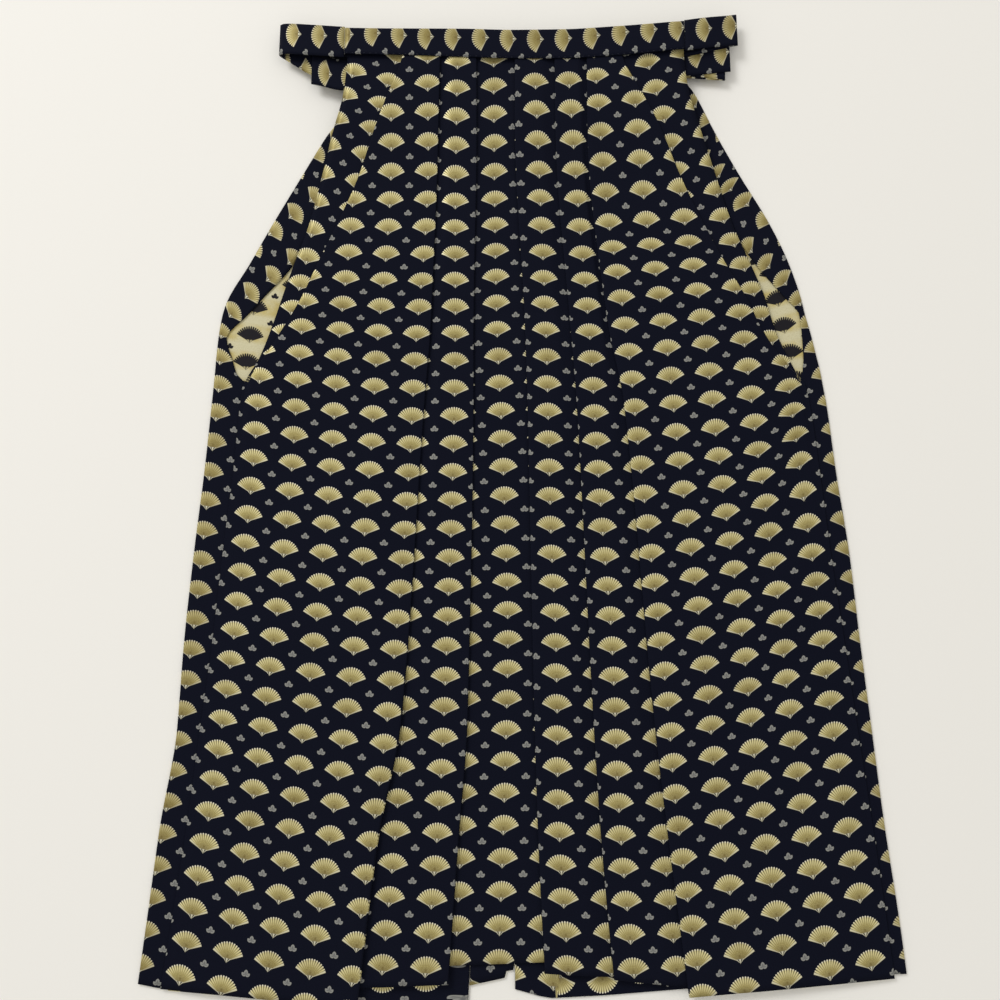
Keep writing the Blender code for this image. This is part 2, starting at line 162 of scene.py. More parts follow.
# Hem lines, y along x
FRONT_RIGHT_HEM = ((-319.0, -465.5), (-214.0, -473.5), (-141.2, -477.5))
FRONT_RIGHT_INNER_HEM = ((-190.0, -468.0), (-141.2, -463.5), (-64.0, -460.0))
FRONT_CENTRE_HEM = ((-112.0, -446.5), (-64.0, -445.5), (22.0, -442.0), (62.0, -443.0))
FRONT_LEFT_CENTRE_HEM = ((22.0, -450.6), (82.5, -454.0), (124.0, -456.0))
FRONT_LEFT_INNER_HEM = ((82.5, -455.6), (146.0, -461.6), (196.0, -462.0))
FRONT_LEFT_HEM = ((146.0, -469.6), (325.0, -455.0))
BACK_RIGHT_HEM = ((-337.8, -463.2), (-320.0, -466.5), (-210.0, -475.6), (-142.0, -478.4), (-46.0, -478.4))
BACK_LEFT_HEM = (
    (-5.0, -465.2), (17.0, -470.8), (27.0, -472.3), (74.0, -469.8), (148.0, -464.0), (325.0, -453.0),
    (338.1, -452.6),
)
RIGHT_GUSSET_HEM = (
    (-45.5, -462.3), (-13.8, -455.8), (-13.7, -450.4), (-5.6, -449.2), (-5.5, -436.5), (62.0, -436.5),
)
BACK_RIGHT_INNER = ((-478.4, -46.0), (-300.0, -38.0), (0.0, -16.0), (CROTCH_Y, -2.6), (465.0, -2.2))
BACK_LEFT_INNER = ((-478.4, -5.0), (CROTCH_Y, -2.2), (465.0, -1.8))

# Upper edge of the front waistband, y along x
BAND_TOP = (
    (-248.0, 473.0), (-178.6, 466.9), (-130.0, 465.6), (-90.0, 465.0), (-58.0, 464.5), (0.0, 462.6),
    (48.0, 462.8), (95.0, 465.3), (130.0, 467.8), (158.0, 470.2), (172.3, 471.2), (228.0, 480.3),
)
BAND_RIGHT_END = -178.3
BAND_LEFT_END = 172.0

# The figure repeats every FAN_ACROSS over the loom width and every FAN_ALONG down the cloth.
# A grain table says where its rows of fans lie on a panel: x and y of one fan of the row, and the
# slope of the row through it
FAN_ACROSS = 37.7
FAN_ALONG = 28.0
GrainRow = namedtuple("GrainRow", "row x y slope")

RIGHT_OUTER_GRAIN = rows_of(GrainRow,
    (-10, -130.0, 434.0, 0.012), (-5, -129.0, 279.5, -0.016), (-3, -131.5, 221.0, -0.03),
    (0, -137.5, 138.5, -0.051), (5, -142.5, -0.5, -0.078), (10, -150.5, -139.5, -0.085),
    (16, -165.5, -307.0, -0.133), (23, -189.5, -502.0, -0.154),
)
RIGHT_MIDDLE_GRAIN = rows_of(GrainRow,
    (-10, -61.5, 428.0, -0.06), (-5, -63.0, 277.0, -0.055), (0, -62.0, 137.0, -0.045),
    (5, -63.0, -2.5, -0.04), (10, -66.5, -140.0, -0.03), (16, -72.0, -304.5, -0.04),
    (23, -87.0, -500.5, -0.045),
)
RIGHT_INNER_GRAIN = rows_of(GrainRow,
    (-10, -24.5, 432.0, 0.075), (-5, -23.5, 280.5, 0.07), (0, -21.0, 142.0, 0.055),
    (5, -15.0, 3.0, 0.04), (8, -12.5, -80.5, 0.027), (10, -11.0, -134.0, 0.02),
    (16, -14.0, -298.0, 0.015), (23, -21.5, -495.5, 0.01),
)
LEFT_INNER_GRAIN = rows_of(GrainRow,
    (-11, 16.0, 459.5, -0.025), (-10, 17.0, 433.5, -0.025), (-6, 21.5, 310.5, -0.024),
    (-5, 22.5, 280.5, -0.025), (-4, 23.5, 250.5, -0.027), (0, 27.0, 140.0, -0.04),
    (5, 29.0, 1.5, -0.035), (8, 30.5, -81.5, -0.041), (10, 33.0, -136.5, -0.045),
    (13, 34.0, -219.5, -0.046), (16, 34.0, -303.5, -0.045), (23, 44.5, -498.5, -0.04),
)
LEFT_MIDDLE_GRAIN = rows_of(GrainRow,
    (-11, 48.8, 461.3, 0.03), (-10, 50.5, 435.0, 0.03), (-6, 58.0, 310.0, 0.022),
    (-5, 60.0, 279.5, 0.02), (-4, 62.0, 249.0, 0.018), (0, 69.5, 138.0, 0.01), (5, 75.5, 0.0, 0.03),
    (8, 80.0, -84.0, 0.025), (10, 84.0, -139.5, 0.02), (13, 86.5, -222.5, 0.019),
    (16, 88.0, -306.5, 0.02), (23, 102.0, -499.5, 0.03),
)
LEFT_OUTER_GRAIN = rows_of(GrainRow,
    (-11, 150.5, 479.0, 0.17), (-10, 152.5, 449.5, 0.156), (-6, 161.0, 324.0, 0.086),
    (-5, 163.5, 291.0, 0.078), (-4, 166.0, 258.2, 0.078), (-2, 173.0, 206.5, 0.094),
    (0, 179.5, 152.5, 0.112), (5, 190.5, 12.5, 0.126), (8, 197.5, -69.5, 0.176),
    (10, 202.5, -123.5, 0.203), (13, 208.5, -204.5, 0.197), (16, 212.5, -286.5, 0.179),
    (23, 233.0, -481.0, 0.184),
)
RIGHT_OUTER_BEND = 0.00036
LEFT_OUTER_BEND = 0.0002
RIGHT_STRIP_GRAIN = rows_of(GrainRow,
    (0, -176.0, 393.2, -0.3), (2, -192.6, 340.0, -0.28), (4, -203.7, 280.0, -0.27),
    (6, -210.6, 219.6, -0.24), (8, -222.5, 165.0, -0.22), (9, -230.0, 140.5, -0.22),
)
LEFT_STRIP_GRAIN = rows_of(GrainRow,
    (0, 176.2, 408.4, 0.29), (3, 196.6, 320.5, 0.29), (5, 204.5, 260.8, 0.27), (7, 222.5, 208.9, 0.25),
    (8, 230.5, 182.5, 0.22), (10, 245.8, 132.0, 0.2),
)
# Wraps, right side up: the grain swings round with the fold beside each opening
RIGHT_WRAP_GRAIN = rows_of(GrainRow,
    (-12, -121.5, 308.5, -1.4), (-7, -224.5, 218.2, -1.5), (-6, -244.6, 199.8, -1.5),
    (-5, -266.2, 182.4, -1.5), (-4, -283.0, 162.5, -1.2), (-3, -293.5, 142.5, -0.6),
    (-2, -294.5, 116.0, -0.3), (-1, -293.9, 88.0, -0.2), (2, -297.8, 0.1, -0.18),
    (8, -306.1, -170.0, -0.12), (13, -319.4, -307.0, -0.08), (18, -335.7, -444.0, -0.1),
)
LEFT_WRAP_GRAIN = rows_of(GrainRow,
    (-12, 150.0, 310.0, 1.35), (-6, 245.4, 210.1, 1.3), (-5, 261.2, 193.3, 1.1),
    (-4, 275.7, 172.7, 0.9), (-3, 285.0, 149.0, 0.6), (-2, 291.8, 123.5, 0.4), (-1, 298.0, 96.0, 0.3),
    (1, 305.0, 39.5, 0.05), (2, 305.0, 9.8, 0.04), (4, 308.0, -48.5, 0.02), (7, 316.7, -132.0, 0.0),
    (12, 326.1, -269.7, 0.0), (15, 333.5, -353.5, 0.07), (18, 343.5, -434.3, 0.12),
)
# Backs, wrong side up
RIGHT_BACK_GRAIN = rows_of(GrainRow,
    (-4, -249.5, 285.1, -0.22), (0, -262.8, 168.6, -0.2), (1, -265.8, 139.1, -0.14),
    (2, -268.0, 111.1, -0.1), (22, -321.5, -446.9, -0.05),
)
LEFT_BACK_GRAIN = rows_of(GrainRow,
    (-4, 243.0, 290.4, 0.3), (0, 256.7, 174.3, 0.3), (1, 260.8, 145.9, 0.25), (2, 266.0, 118.4, 0.15),
    (22, 322.7, -441.3, 0.08),
)
# Turned-up hems and gussets, right side up. Their figure is upside down, apart from the start of
# the left hem, which is pieced on at HEM_JOIN_X. Row 0 lies at the fans that show below the front
RIGHT_HEM_GRAIN = rows_of(GrainRow, (-1, -84.0, -432.0, 0.03), (0, -83.0, -460.0, 0.03))
LEFT_HEM_GRAIN = rows_of(GrainRow, (-1, 71.4, -433.0, 0.03), (0, 71.4, -461.0, 0.03))
LEFT_HEM_START_GRAIN = rows_of(GrainRow, (0, -9.0, -451.0, -0.14), (1, -9.0, -479.0, -0.14))
HEM_JOIN_X = 32.0
GUSSET_GRAIN = rows_of(GrainRow, (-20, -45.1, 94.7, 0.05), (0, -45.1, -465.3, 0.1))

# Where the cloth is pulled askew: middle of the pull, its reach across and along, how far it moves
Tug = namedtuple("Tug", "x y across along dx dy")
LEFT_OUTER_TUGS = rows_of(
    Tug,
    (276.0, 21.0, 26.0, 60.0, 0.0, 13.2), (238.0, -33.0, 22.0, 40.0, 0.0, 2.8),
    (130.0, -154.0, 30.0, 60.0, -1.2, 1.5), (266.0, -208.0, 36.0, 50.0, -2.4, 0.0),
)
RIGHT_OUTER_TUGS = rows_of(
    Tug, (-259.0, -357.0, 55.0, 100.0, 1.0, 0.0), (-152.0, -357.0, 45.0, 100.0, -1.4, 0.0)
)
LEFT_WRAP_TUGS = rows_of(Tug, (214.0, 272.0, 33.0, 33.0, -10.5, 3.8))
RIGHT_HEM_TUGS = rows_of(Tug, (-42.0, -460.0, 17.0, 60.0, 18.0, 0.0))
LEFT_HEM_TUGS = rows_of(Tug, (128.0, -460.0, 28.0, 60.0, 0.0, 13.0))


def along(table, at):
    """Value on a polyline table of (position, value) pairs, straight past its ends."""
    xs, vs = np.array(sorted(table), float).T
    at = np.asarray(at, float)
    i = np.clip(np.searchsorted(xs, at) - 1, 0, len(xs) - 2)
    return vs[i] + (vs[i + 1] - vs[i]) * (at - xs[i]) / (xs[i + 1] - xs[i])


def curve(table, at, loose=False):
    """Smooth curve through a table of (position, value) pairs.

    It never overshoots them, unless loose, when it runs as a freely bent rod would.
    """
    xs, vs = np.array(sorted(table), float).T
    at = np.asarray(at, float)
    steps = np.diff(xs)
    rises = np.diff(vs) / steps
    if loose:
        slopes = np.gradient(vs, xs)
    else:
        before, after = rises[:-1], rises[1:]
        total = np.where(before + after == 0.0, 1.0, before + after)
        inner = np.where(before * after > 0.0, 2.0 * before * after / total, 0.0)
        slopes = np.concatenate([rises[:1], inner, rises[-1:]])
    inside = np.clip(at, xs[0], xs[-1])
    i = np.clip(np.searchsorted(xs, inside) - 1, 0, len(xs) - 2)
    t = (inside - xs[i]) / steps[i]
    value = (
        (2 * t**3 - 3 * t**2 + 1) * vs[i]
        + (t**3 - 2 * t**2 + t) * steps[i] * slopes[i]
        + (3 * t**2 - 2 * t**3) * vs[i + 1]
        + (t**3 - t**2) * steps[i] * slopes[i + 1]
    )
    beyond = at - inside
    return value + beyond * np.where(beyond < 0.0, slopes[0], slopes[-1])


def smooth(t):
    t = np.clip(t, 0.0, 1.0)
    return t * t * (3.0 - 2.0 * t)


def edge_at(name, y):
    """Outline at height y, from the opening rows and the leg rows together."""
    rows = [(row.y, getattr(row, name)) for row in OPENINGS + LEGS if hasattr(row, name)]
    return curve(rows, y)


def pleat_at(pleat, y):
    return curve(list(zip(PLEAT_Y, pleat.xs)), y)


def depth_at(pleat, y):
    share = (PLEAT_Y[0] - y) / (PLEAT_Y[0] - PLEAT_Y[-1])
    return pleat.depth_waist + (pleat.depth_hem - pleat.depth_waist) * share


def level(number, lift=0.0):
    """Height of the middle of the cloth at a level."""
    return lift + number * PITCH + WALL / 2.0


def front_lift(x, y):
    """The front climbs over the folded ties on its way to the waist."""
    below = along(BAND_TOP, x) - y
    return FRONT_LIFT * (1.0 - smooth((below - TIE_BUNDLE_REACH) / LIFT_RUN))


def back_lift(y):
    return BACK_LIFT * smooth((y - BACK_LIFT_FROM) / BACK_LIFT_RUN)


# ---------------------------------------------------------------- grain of the cloth

ROW_STEP = 0.1
ROWS_BEYOND = 8.0


def grain(table, bend=0.0):
    """Function from x and y on a panel to cloth coordinates in metres, across and up the cloth.

    A point's row is the one whose line of fans runs through it, found between finely spaced rows.
    """
    first, last = table[0].row, table[-1].row
    rows = np.arange(first - ROWS_BEYOND, last + ROWS_BEYOND, ROW_STEP)
    fan_x, fan_y, slope = (
        curve([(row.row, getattr(row, name)) for row in table], rows, loose=True)
        for name in ("x", "y", "slope")
    )

    def lookup(x, y):
        dx = np.asarray(x)[:, None] - fan_x[None, :]
        miss = np.asarray(y)[:, None] - (fan_y + slope * dx + bend * dx * dx)
        crossed = (miss[:, :-1] < 0.0) & (miss[:, 1:] >= 0.0)
        distance = np.where(crossed, np.abs(dx[:, :-1]), np.inf)
        best = np.argmin(distance, axis=1)
        point = np.arange(len(best))
        low, high = miss[point, best], miss[point, best + 1]
        share = low / np.where(low == high, 1.0, low - high)
        row = rows[best] + ROW_STEP * share
        run = dx[point, best] + (dx[point, best + 1] - dx[point, best]) * share
        lean = slope[best]
        return run * np.sqrt(1.0 + lean * lean) * MM, -row * FAN_ALONG * MM

    return lookup


def mirrored(cloth, fold):
    """Grain of cloth that runs back under a fold, given as a function of y."""
    def lookup(x, y):
        at = fold(y)
        lean = (fold(y + 1.0) - fold(y - 1.0)) / 2.0
        off = 2.0 * (x - at) / (1.0 + lean * lean)
        return cloth(x - off, y + off * lean)

    return lookup


def tugged(cloth, tugs):
    """Grain of cloth pulled askew here and there, as pressing and wear leave it."""
    def lookup(x, y):
        off_x, off_y = 0.0 * x, 0.0 * y
        for tug in tugs:
            share = np.exp(-(((x - tug.x) / tug.across) ** 2) - ((y - tug.y) / tug.along) ** 2)
            off_x, off_y = off_x + tug.dx * share, off_y + tug.dy * share
        return cloth(x - off_x, y - off_y)

    return lookup


def inverted(cloth):
    """Grain of cloth turned end for end."""
    return lambda x, y: tuple(-value for value in cloth(x, y))


def joined(first, second, seam_x):
    """Grain of two cuts of cloth sewn side by side."""
    def lookup(x, y):
        return tuple(np.where(x < seam_x, one, other) for one, other in zip(first(x, y), second(x, y)))

    return lookup


# ---------------------------------------------------------------- folded panels


class Section:
    """Line through the middle of the cloth across the garment, at many heights y at once.

    Each point holds x and z over those heights, and the grain of the cloth that it is a point of.
    """

    def __init__(self, y, x, z, heading, cloth):
        self.y = y
        self.heading = heading
        self.cloth = cloth
        self.points = []
        self.add(x, z)

    def add(self, x, z):
        self.points.append((x + 0.0 * self.y, z + 0.0 * self.y, self.cloth))

    def end(self):
        return self.points[-1][:2]

    def run(self, x, z, count, rise=None):
        """Stretch of count steps to x and z; rise maps the share of x gone to the share of z."""
        start_x, start_z = self.end()
        for step in range(1, count + 1):
            share = step / count
            climbed = share if rise is None else rise(share)
            self.add(start_x + (x - start_x) * share, start_z + (z - start_z) * climbed)

    def turn(self, rise):
        """Half turn of the cloth, up or down by rise."""
        x, z = self.end()
        radius = np.abs(rise) / 2.0
        for step in range(1, FOLD_STEPS + 1):
            angle = math.pi * step / FOLD_STEPS
            out = self.heading * radius * math.sin(angle)
            self.add(x + out, z + rise * (1.0 - math.cos(angle)) / 2.0)
        self.heading = -self.heading


def surface(upper, lower, top_of, hem_of, rows):
    """Grid of a panel from its sections above and below the lower corner of a side opening.

    Column i runs from top_of(i, x) to hem_of(i, x). The grid is x, y, z, across and up.
    """
    ys = np.concatenate([upper.y, lower.y])
    share = np.linspace(0.0, 1.0, rows)
    columns = []
    for i, ((xa, za, cloth_a), (xb, zb, cloth_b)) in enumerate(zip(upper.points, lower.points)):
        top, hem = top_of(i, xa[0]), hem_of(i, xb[-1])
        y = top + (hem - top) * share
        x = np.interp(-y, -ys, np.concatenate([xa, xb]))
        z = np.interp(-y, -ys, np.concatenate([za, zb]))
        folded = y > (LAST_FOLDED_ROW + OPEN_ROW) / 2.0
        across, up = (np.where(folded, a, b) for a, b in zip(cloth_a(x, y), cloth_b(x, y)))
        columns.append((x, y, z, across, up))
    return [np.array([column[k] for column in columns]).T for k in range(5)]


def flat_grid(left, right, top, bottom, z, cloth, columns, rows):
    """Grid of a flat piece between a left and a right line, x along y, and two lines, y along x."""
    share = np.linspace(0.0, 1.0, columns)
    down = np.linspace(0.0, 1.0, rows)[:, None]
    middle = np.mean([bottom(left(0.0)), top(left(0.0))])
    x = left(middle) + (right(middle) - left(middle)) * share[None, :] + 0.0 * down
    # The lines lean, so y and x are each worked out from the other in turn
    for _ in range(3):
        y = top(x) + (bottom(x) - top(x)) * down
        x = left(y) + (right(y) - left(y)) * share[None, :]
    across, up = (value.reshape(x.shape) for value in cloth(x.ravel(), y.ravel()))
    return [x, y, z + 0.0 * x, across, up]


# ---------------------------------------------------------------- creases

# Soft creases of the fronts from how they were stored: a trough or ridge from one end to the
# other, with the width of its slope and its height
Crease = namedtuple("Crease", "x1 y1 x2 y2 width height")
CREASES = rows_of(
    Crease,
    # Fold across the thighs, deepest over the wearer's left
    (-165.0, 160.0, 60.0, 157.0, 9.0, -1.2),
    (60.0, 157.0, 245.0, 146.0, 10.0, -1.9),
    (70.0, 172.0, 235.0, 163.0, 12.0, 1.0),
    # Fold across the knees
    (-120.0, -172.0, 95.0, -170.0, 9.0, -1.3),
    (95.0, -168.0, 200.0, -160.0, 12.0, -1.0),
    # Diagonal drag lines from the wearer's left side to the front edge
    (285.0, -20.0, 180.0, -165.0, 14.0, -1.8),
    (292.0, -140.0, 165.0, -285.0, 15.0, -1.6),
    (270.0, 40.0, 205.0, -60.0, 12.0, 1.1),
    (298.0, -255.0, 215.0, -355.0, 15.0, -1.1),
    # Shallow drag lines on the wearer's right side
    (-270.0, -40.0, -165.0, -190.0, 16.0, -1.0),
    (-285.0, -190.0, -150.0, -330.0, 16.0, -1.1),
    (-130.0, 60.0, -150.0, -120.0, 14.0, 0.8),
)
CREASE_BED = 1.9
# A crease runs on past its ends by a share of its length, and fades out over another share
CREASE_PAST = 0.15
CREASE_FADE = 0.4
# Waves of the cloth as it lies: height, length of a radian across and along, and phase
BED_WAVES = ((0.45, 31.0, 83.0, 0.0), (0.35, -61.0, 47.0, 1.3))
BED_TOP = 395.0
BED_TOP_RUN = 120.0
BED_SIDE_RUN = 45.0


def relief(x, y):
    """Height of the front's soft creases above the level it would lie at."""
    side = np.where(x < 0.0, x - edge_at("seam_r", y), edge_at("seam_l", y) - x)
    bed = smooth((BED_TOP - y) / BED_TOP_RUN) * smooth(side / BED_SIDE_RUN)
    total = CREASE_BED * np.ones_like(x)
    for crease in CREASES:
        run = np.array([crease.x2 - crease.x1, crease.y2 - crease.y1])
        length = np.hypot(*run)
        way = run / length
        along_it = ((x - crease.x1) * way[0] + (y - crease.y1) * way[1]) / length
        off = ((y - crease.y1) * way[0] - (x - crease.x1) * way[1]) / crease.width
        from_ends = np.minimum(along_it, 1.0 - along_it) + CREASE_PAST
        ends = smooth(from_ends / CREASE_FADE)
        total = total + crease.height * ends * np.exp(-off * off)
    for height, across, down, phase in BED_WAVES:
        total = total + height * np.sin(x / across + y / down + phase)
    return bed * np.maximum(total, 0.0)


# ---------------------------------------------------------------- making the pieces


def placed(name, data):
    """New object in the scene."""
    thing = bpy.data.objects.new(name, data)
    bpy.context.scene.collection.objects.link(thing)
    return thing


def sheet_object(name, grid, materials, face_up, thickness=SILK):
    """Thin shell through a grid of points; face_up says that its columns run with +x."""
    x, y, z, across, up = grid
    rows, columns = x.shape
    points = np.stack([(x - MIDDLE_X) * MM, (y - MIDDLE_Y) * MM, z * MM], axis=-1).reshape(-1, 3)
    index = np.arange(rows * columns).reshape(rows, columns)
    a, b = index[:-1, :-1].ravel(), index[:-1, 1:].ravel()
    c, d = index[1:, 1:].ravel(), index[1:, :-1].ravel()
    quads = np.stack([a, d, c, b] if face_up else [a, b, c, d], axis=-1)
    mesh = bpy.data.meshes.new(name)
    mesh.from_pydata(points.tolist(), [], quads.tolist())
    layer = mesh.uv_layers.new(name="cloth")
    corners = np.stack([across.ravel()[quads.ravel()], up.ravel()[quads.ravel()]], axis=-1)
    layer.data.foreach_set("uv", corners.ravel())
    mesh.shade_smooth()
    for material in materials:
        mesh.materials.append(material)
    piece = placed(name, mesh)
    thicken = piece.modifiers.new("silk", "SOLIDIFY")
    thicken.thickness = thickness * MM
    thicken.offset = 0.0
    thicken.use_even_offset = True
    thicken.use_quality_normals = True
    thicken.material_offset = len(materials) - 1
    return piece


PANEL_ROWS = 150
# Faces across each stretch of a front, from its outer edge inwards
STRIP_STEPS = 10
RETURN_STEPS = 3
TOP_PANEL_STEPS = 26
FIRST_EDGE_STEPS = 4
EDGE_STEPS = 10
UNDER_STEPS = 6
LAP_STEPS = 5
CENTRE_STEPS = 14
GAPE_TOP = -40.0
GAPE_RUN = 380.0
GAPES = {"right_outer": 2.6, "right_inner": 1.2, "centre": 0.5, "left_inner": 0.6, "left_outer": 0.9}


def gape_at(pleat, y):
    """How far a pleat's pressed edge lifts off the cloth below it, towards the hem."""
    return GAPES[pleat.name] * smooth((GAPE_TOP - y) / GAPE_RUN)


# Heights of the sections, above and below the lower corners of the side openings
FRONT_ROWS_FROM = 472.0
BACK_ROWS_FROM = 458.0
ROWS_TO = -484.0
FOLDED_ROW_STEP = 2.0
OPEN_ROW_STEP = 3.0


def folded_rows(start):
    return np.arange(start, LAST_FOLDED_ROW - 0.1, -FOLDED_ROW_STEP)


def open_rows():
    return np.arange(OPEN_ROW, ROWS_TO, -OPEN_ROW_STEP)


def add_pleats(section, y, pleats, end_pleat, grains, inward, low, mid, high):
    """Pleats of a front from the outer panel inwards, each an S-fold onto the next panel."""
    for number, pleat in enumerate(pleats):
        edge = pleat_at(pleat, y)
        depth = depth_at(pleat, y)
        gape = gape_at(pleat, y)
        reach = FOLD_EDGE + gape / 2.0
        steps = EDGE_STEPS if number else FIRST_EDGE_STEPS
        section.run(edge - inward * reach, high + gape, steps, lambda share: share ** 2)
        section.cloth = mirrored(grains[number], lambda at, p=pleat: pleat_at(p, at))
        section.turn(-PITCH - gape)
        if pleat is end_pleat:
            section.run(edge - inward * depth, mid, UNDER_STEPS)
            return
        section.run(edge - inward * (depth - FOLD_EDGE), mid, UNDER_STEPS)
        section.cloth = grains[number + 1]
        section.turn(-PITCH)
        if number + 1 < len(pleats):
            after = pleats[number + 1]
            section.run(edge + inward * UNDER_LAP, low, LAP_STEPS)
            rise_to = pleat_at(after, y) - inward * (depth_at(after, y) + FOLD_CLEAR)
            section.run(rise_to, high, UNDER_STEPS, smooth)
    section.run(pleat_at(CENTRE, y) + depth_at(CENTRE, y), low, CENTRE_STEPS)


def front_sections(side, pleats, end_pleat, grains, strip_grain):
    """Sections of one front, above and below the lower corner of its side opening."""
    which = "r" if side < 0 else "l"
    inward = -side
    first = pleats[0]

    def leaf(y):
        return edge_at("leaf_" + which, y)

    def levels(y):
        lift = front_lift(pleat_at(first, y), y)
        return level(2, lift), level(3, lift), level(4, lift)

    def panel_end(y):
        return pleat_at(first, y) - inward * (depth_at(first, y) + FOLD_CLEAR)

    def folded(y):
        low, mid, high = levels(y)
        grown = smooth((y - LAST_FOLDED_ROW) / STRIP_RETURN_RUN)
        narrowed = 1.0 - STRIP_NARROWS * smooth((y - STRIP_NARROWS_FROM) / STRIP_NARROWS_RUN)
        back = LEAST_RETURN + STRIP_RETURN * grown * narrowed
        section = Section(y, edge_at("strip_" + which, y), low, inward, strip_grain)
        section.run(leaf(y) + inward * (FOLD_EDGE + back), low, STRIP_STEPS)
        section.cloth = mirrored(grains[0], leaf)
        section.turn(PITCH)
        section.run(section.end()[0] + section.heading * back, mid, RETURN_STEPS)
        section.cloth = grains[0]
        section.turn(PITCH)
        section.run(panel_end(y), high, TOP_PANEL_STEPS)
        return section, (low, mid, high)

    def opened(y):
        low, mid, high = levels(y)
        seam = edge_at("seam_" + which, y)
        section = Section(y, seam, low, inward, grains[0])
        section.run(seam + inward * SEAM_FLAT, low, STRIP_STEPS)
        ease = smooth((OPEN_ROW - y) / RAMP_EASE_RUN)
        rise = 2.0 * PITCH * (1.0 - ease) + RAMP_EASED * ease
        ramp_steps = 2 * FOLD_STEPS + RETURN_STEPS
        section.run(seam + inward * (SEAM_FLAT + RAMP_RUN), low + rise, ramp_steps, smooth)
        section.run(panel_end(y), high, TOP_PANEL_STEPS, smooth)
        return section, (low, mid, high)

    tables = []
    for shape, ys in ((folded, folded_rows(FRONT_ROWS_FROM)), (opened, open_rows())):
        section, heights = shape(ys)
        add_pleats(section, ys, pleats, end_pleat, grains, inward, *heights)
        tables.append(section)
    return tables


# Point numbers on a front's section where the cloth under the first and the second pleat starts
UNDER_FIRST = 1 + STRIP_STEPS + RETURN_STEPS + TOP_PANEL_STEPS + FIRST_EDGE_STEPS + 3 * FOLD_STEPS
UNDER_SECOND = UNDER_FIRST + 2 * UNDER_STEPS + LAP_STEPS + EDGE_STEPS + 2 * FOLD_STEPS


def build_front(name, side, pleats, end_pleat, grains, strip_grain, hems):
    """Front of one leg with its pleats and strip; hems are given from the points where they start."""
    upper, lower = front_sections(side, pleats, end_pleat, grains, strip_grain)
    grid = surface(
        upper, lower,
        lambda i, x: along(BAND_TOP, x) - BAND_TUCK,
        lambda i, x: along([table for start, table in hems if i >= start][-1], x),
        PANEL_ROWS,
    )
    grid[2] = grid[2] + relief(grid[0], grid[1])
    return sheet_object(name, grid, (right_side, wrong_side), side < 0)


# Rise and fall of the wrapped edge: mean rise, two waves as (height, length of a radian), and
# where it starts above the hem and ends below the opening, with the run of each
WRAP_RISE = 0.16
WRAP_WAVES = ((0.1, 19.0), (0.06, 7.7))
WRAP_RISE_FROM = (-478.0, 40.0)
WRAP_RISE_TO = (150.0, 60.0)


def wrap_relief(y, side):
    """Slight rise and fall of the wrapped edge, along the turn at the side."""
    (low, low_run), (high, high_run) = WRAP_RISE_FROM, WRAP_RISE_TO
    (slow, slow_length), (quick, quick_length) = WRAP_WAVES
    ends = smooth((y - low) / low_run) * smooth((high - y) / high_run)
    return ends * (WRAP_RISE + slow * np.sin(y / slow_length + side) + quick * np.sin(y / quick_length))


# The back stops HEM_FOLD short of its hem line, where the turned hem's own fold takes over
HEM_FOLD = 1.3
# Under the fold at the side the wrap's grain runs on for WRAP_HIDDEN, then changes to the back's
# own within GRAIN_STEP
WRAP_HIDDEN = 3.0
GRAIN_STEP = 0.02
WRAP_STEPS = 8
BACK_STEPS = 30


def build_back(name, side, inner_edge, hem_table, wrap_grain, back_grain):
    """Back of one leg, wrapped round its side to the front."""
    which = "r" if side < 0 else "l"

    def outline(y):
        return edge_at("outline_" + which, y)

    tables = []
    for ys, start in (
        (folded_rows(BACK_ROWS_FROM), lambda y: edge_at("wrap_" + which, y)),
        (open_rows(), lambda y: edge_at("seam_" + which, y) - side * SEAM_LAP),
    ):
        lift = back_lift(ys)
        section = Section(ys, start(ys), level(1, lift), side, wrap_grain)
        section.run(outline(ys) - side * FOLD_EDGE, level(1, lift), WRAP_STEPS)
        section.turn(-PITCH)
        section.cloth = mirrored(wrap_grain, outline)
        section.run(outline(ys) - side * WRAP_HIDDEN, level(0, lift), 1)
        section.cloth = back_grain
        section.run(outline(ys) - side * (WRAP_HIDDEN + GRAIN_STEP), level(0, lift), 1)
        section.run(curve(inner_edge, ys), level(0, lift), BACK_STEPS)
        tables.append(section)
    grid = surface(
        *tables,
        lambda i, x: BACK_TOP,
        lambda i, x: along(hem_table, x) + HEM_FOLD,
        PANEL_ROWS,
    )
    wrapped = np.clip((grid[2] - level(0)) / PITCH, 0.0, 1.0)
    grid[2] = grid[2] + wrapped * wrap_relief(grid[1], side)
    return sheet_object(name, grid, (shaded_copy_side, wrong_side), side > 0)


# The turned hem starts HEM_EDGE above that line. Its upper edge is hidden HEM_TUCK under the front
HEM_EDGE = 1.0
HEM_TUCK = 3.5
HEM_COLUMNS = 150
HEM_ROWS = 9
HEM_TURN_CLOTH = 0.5


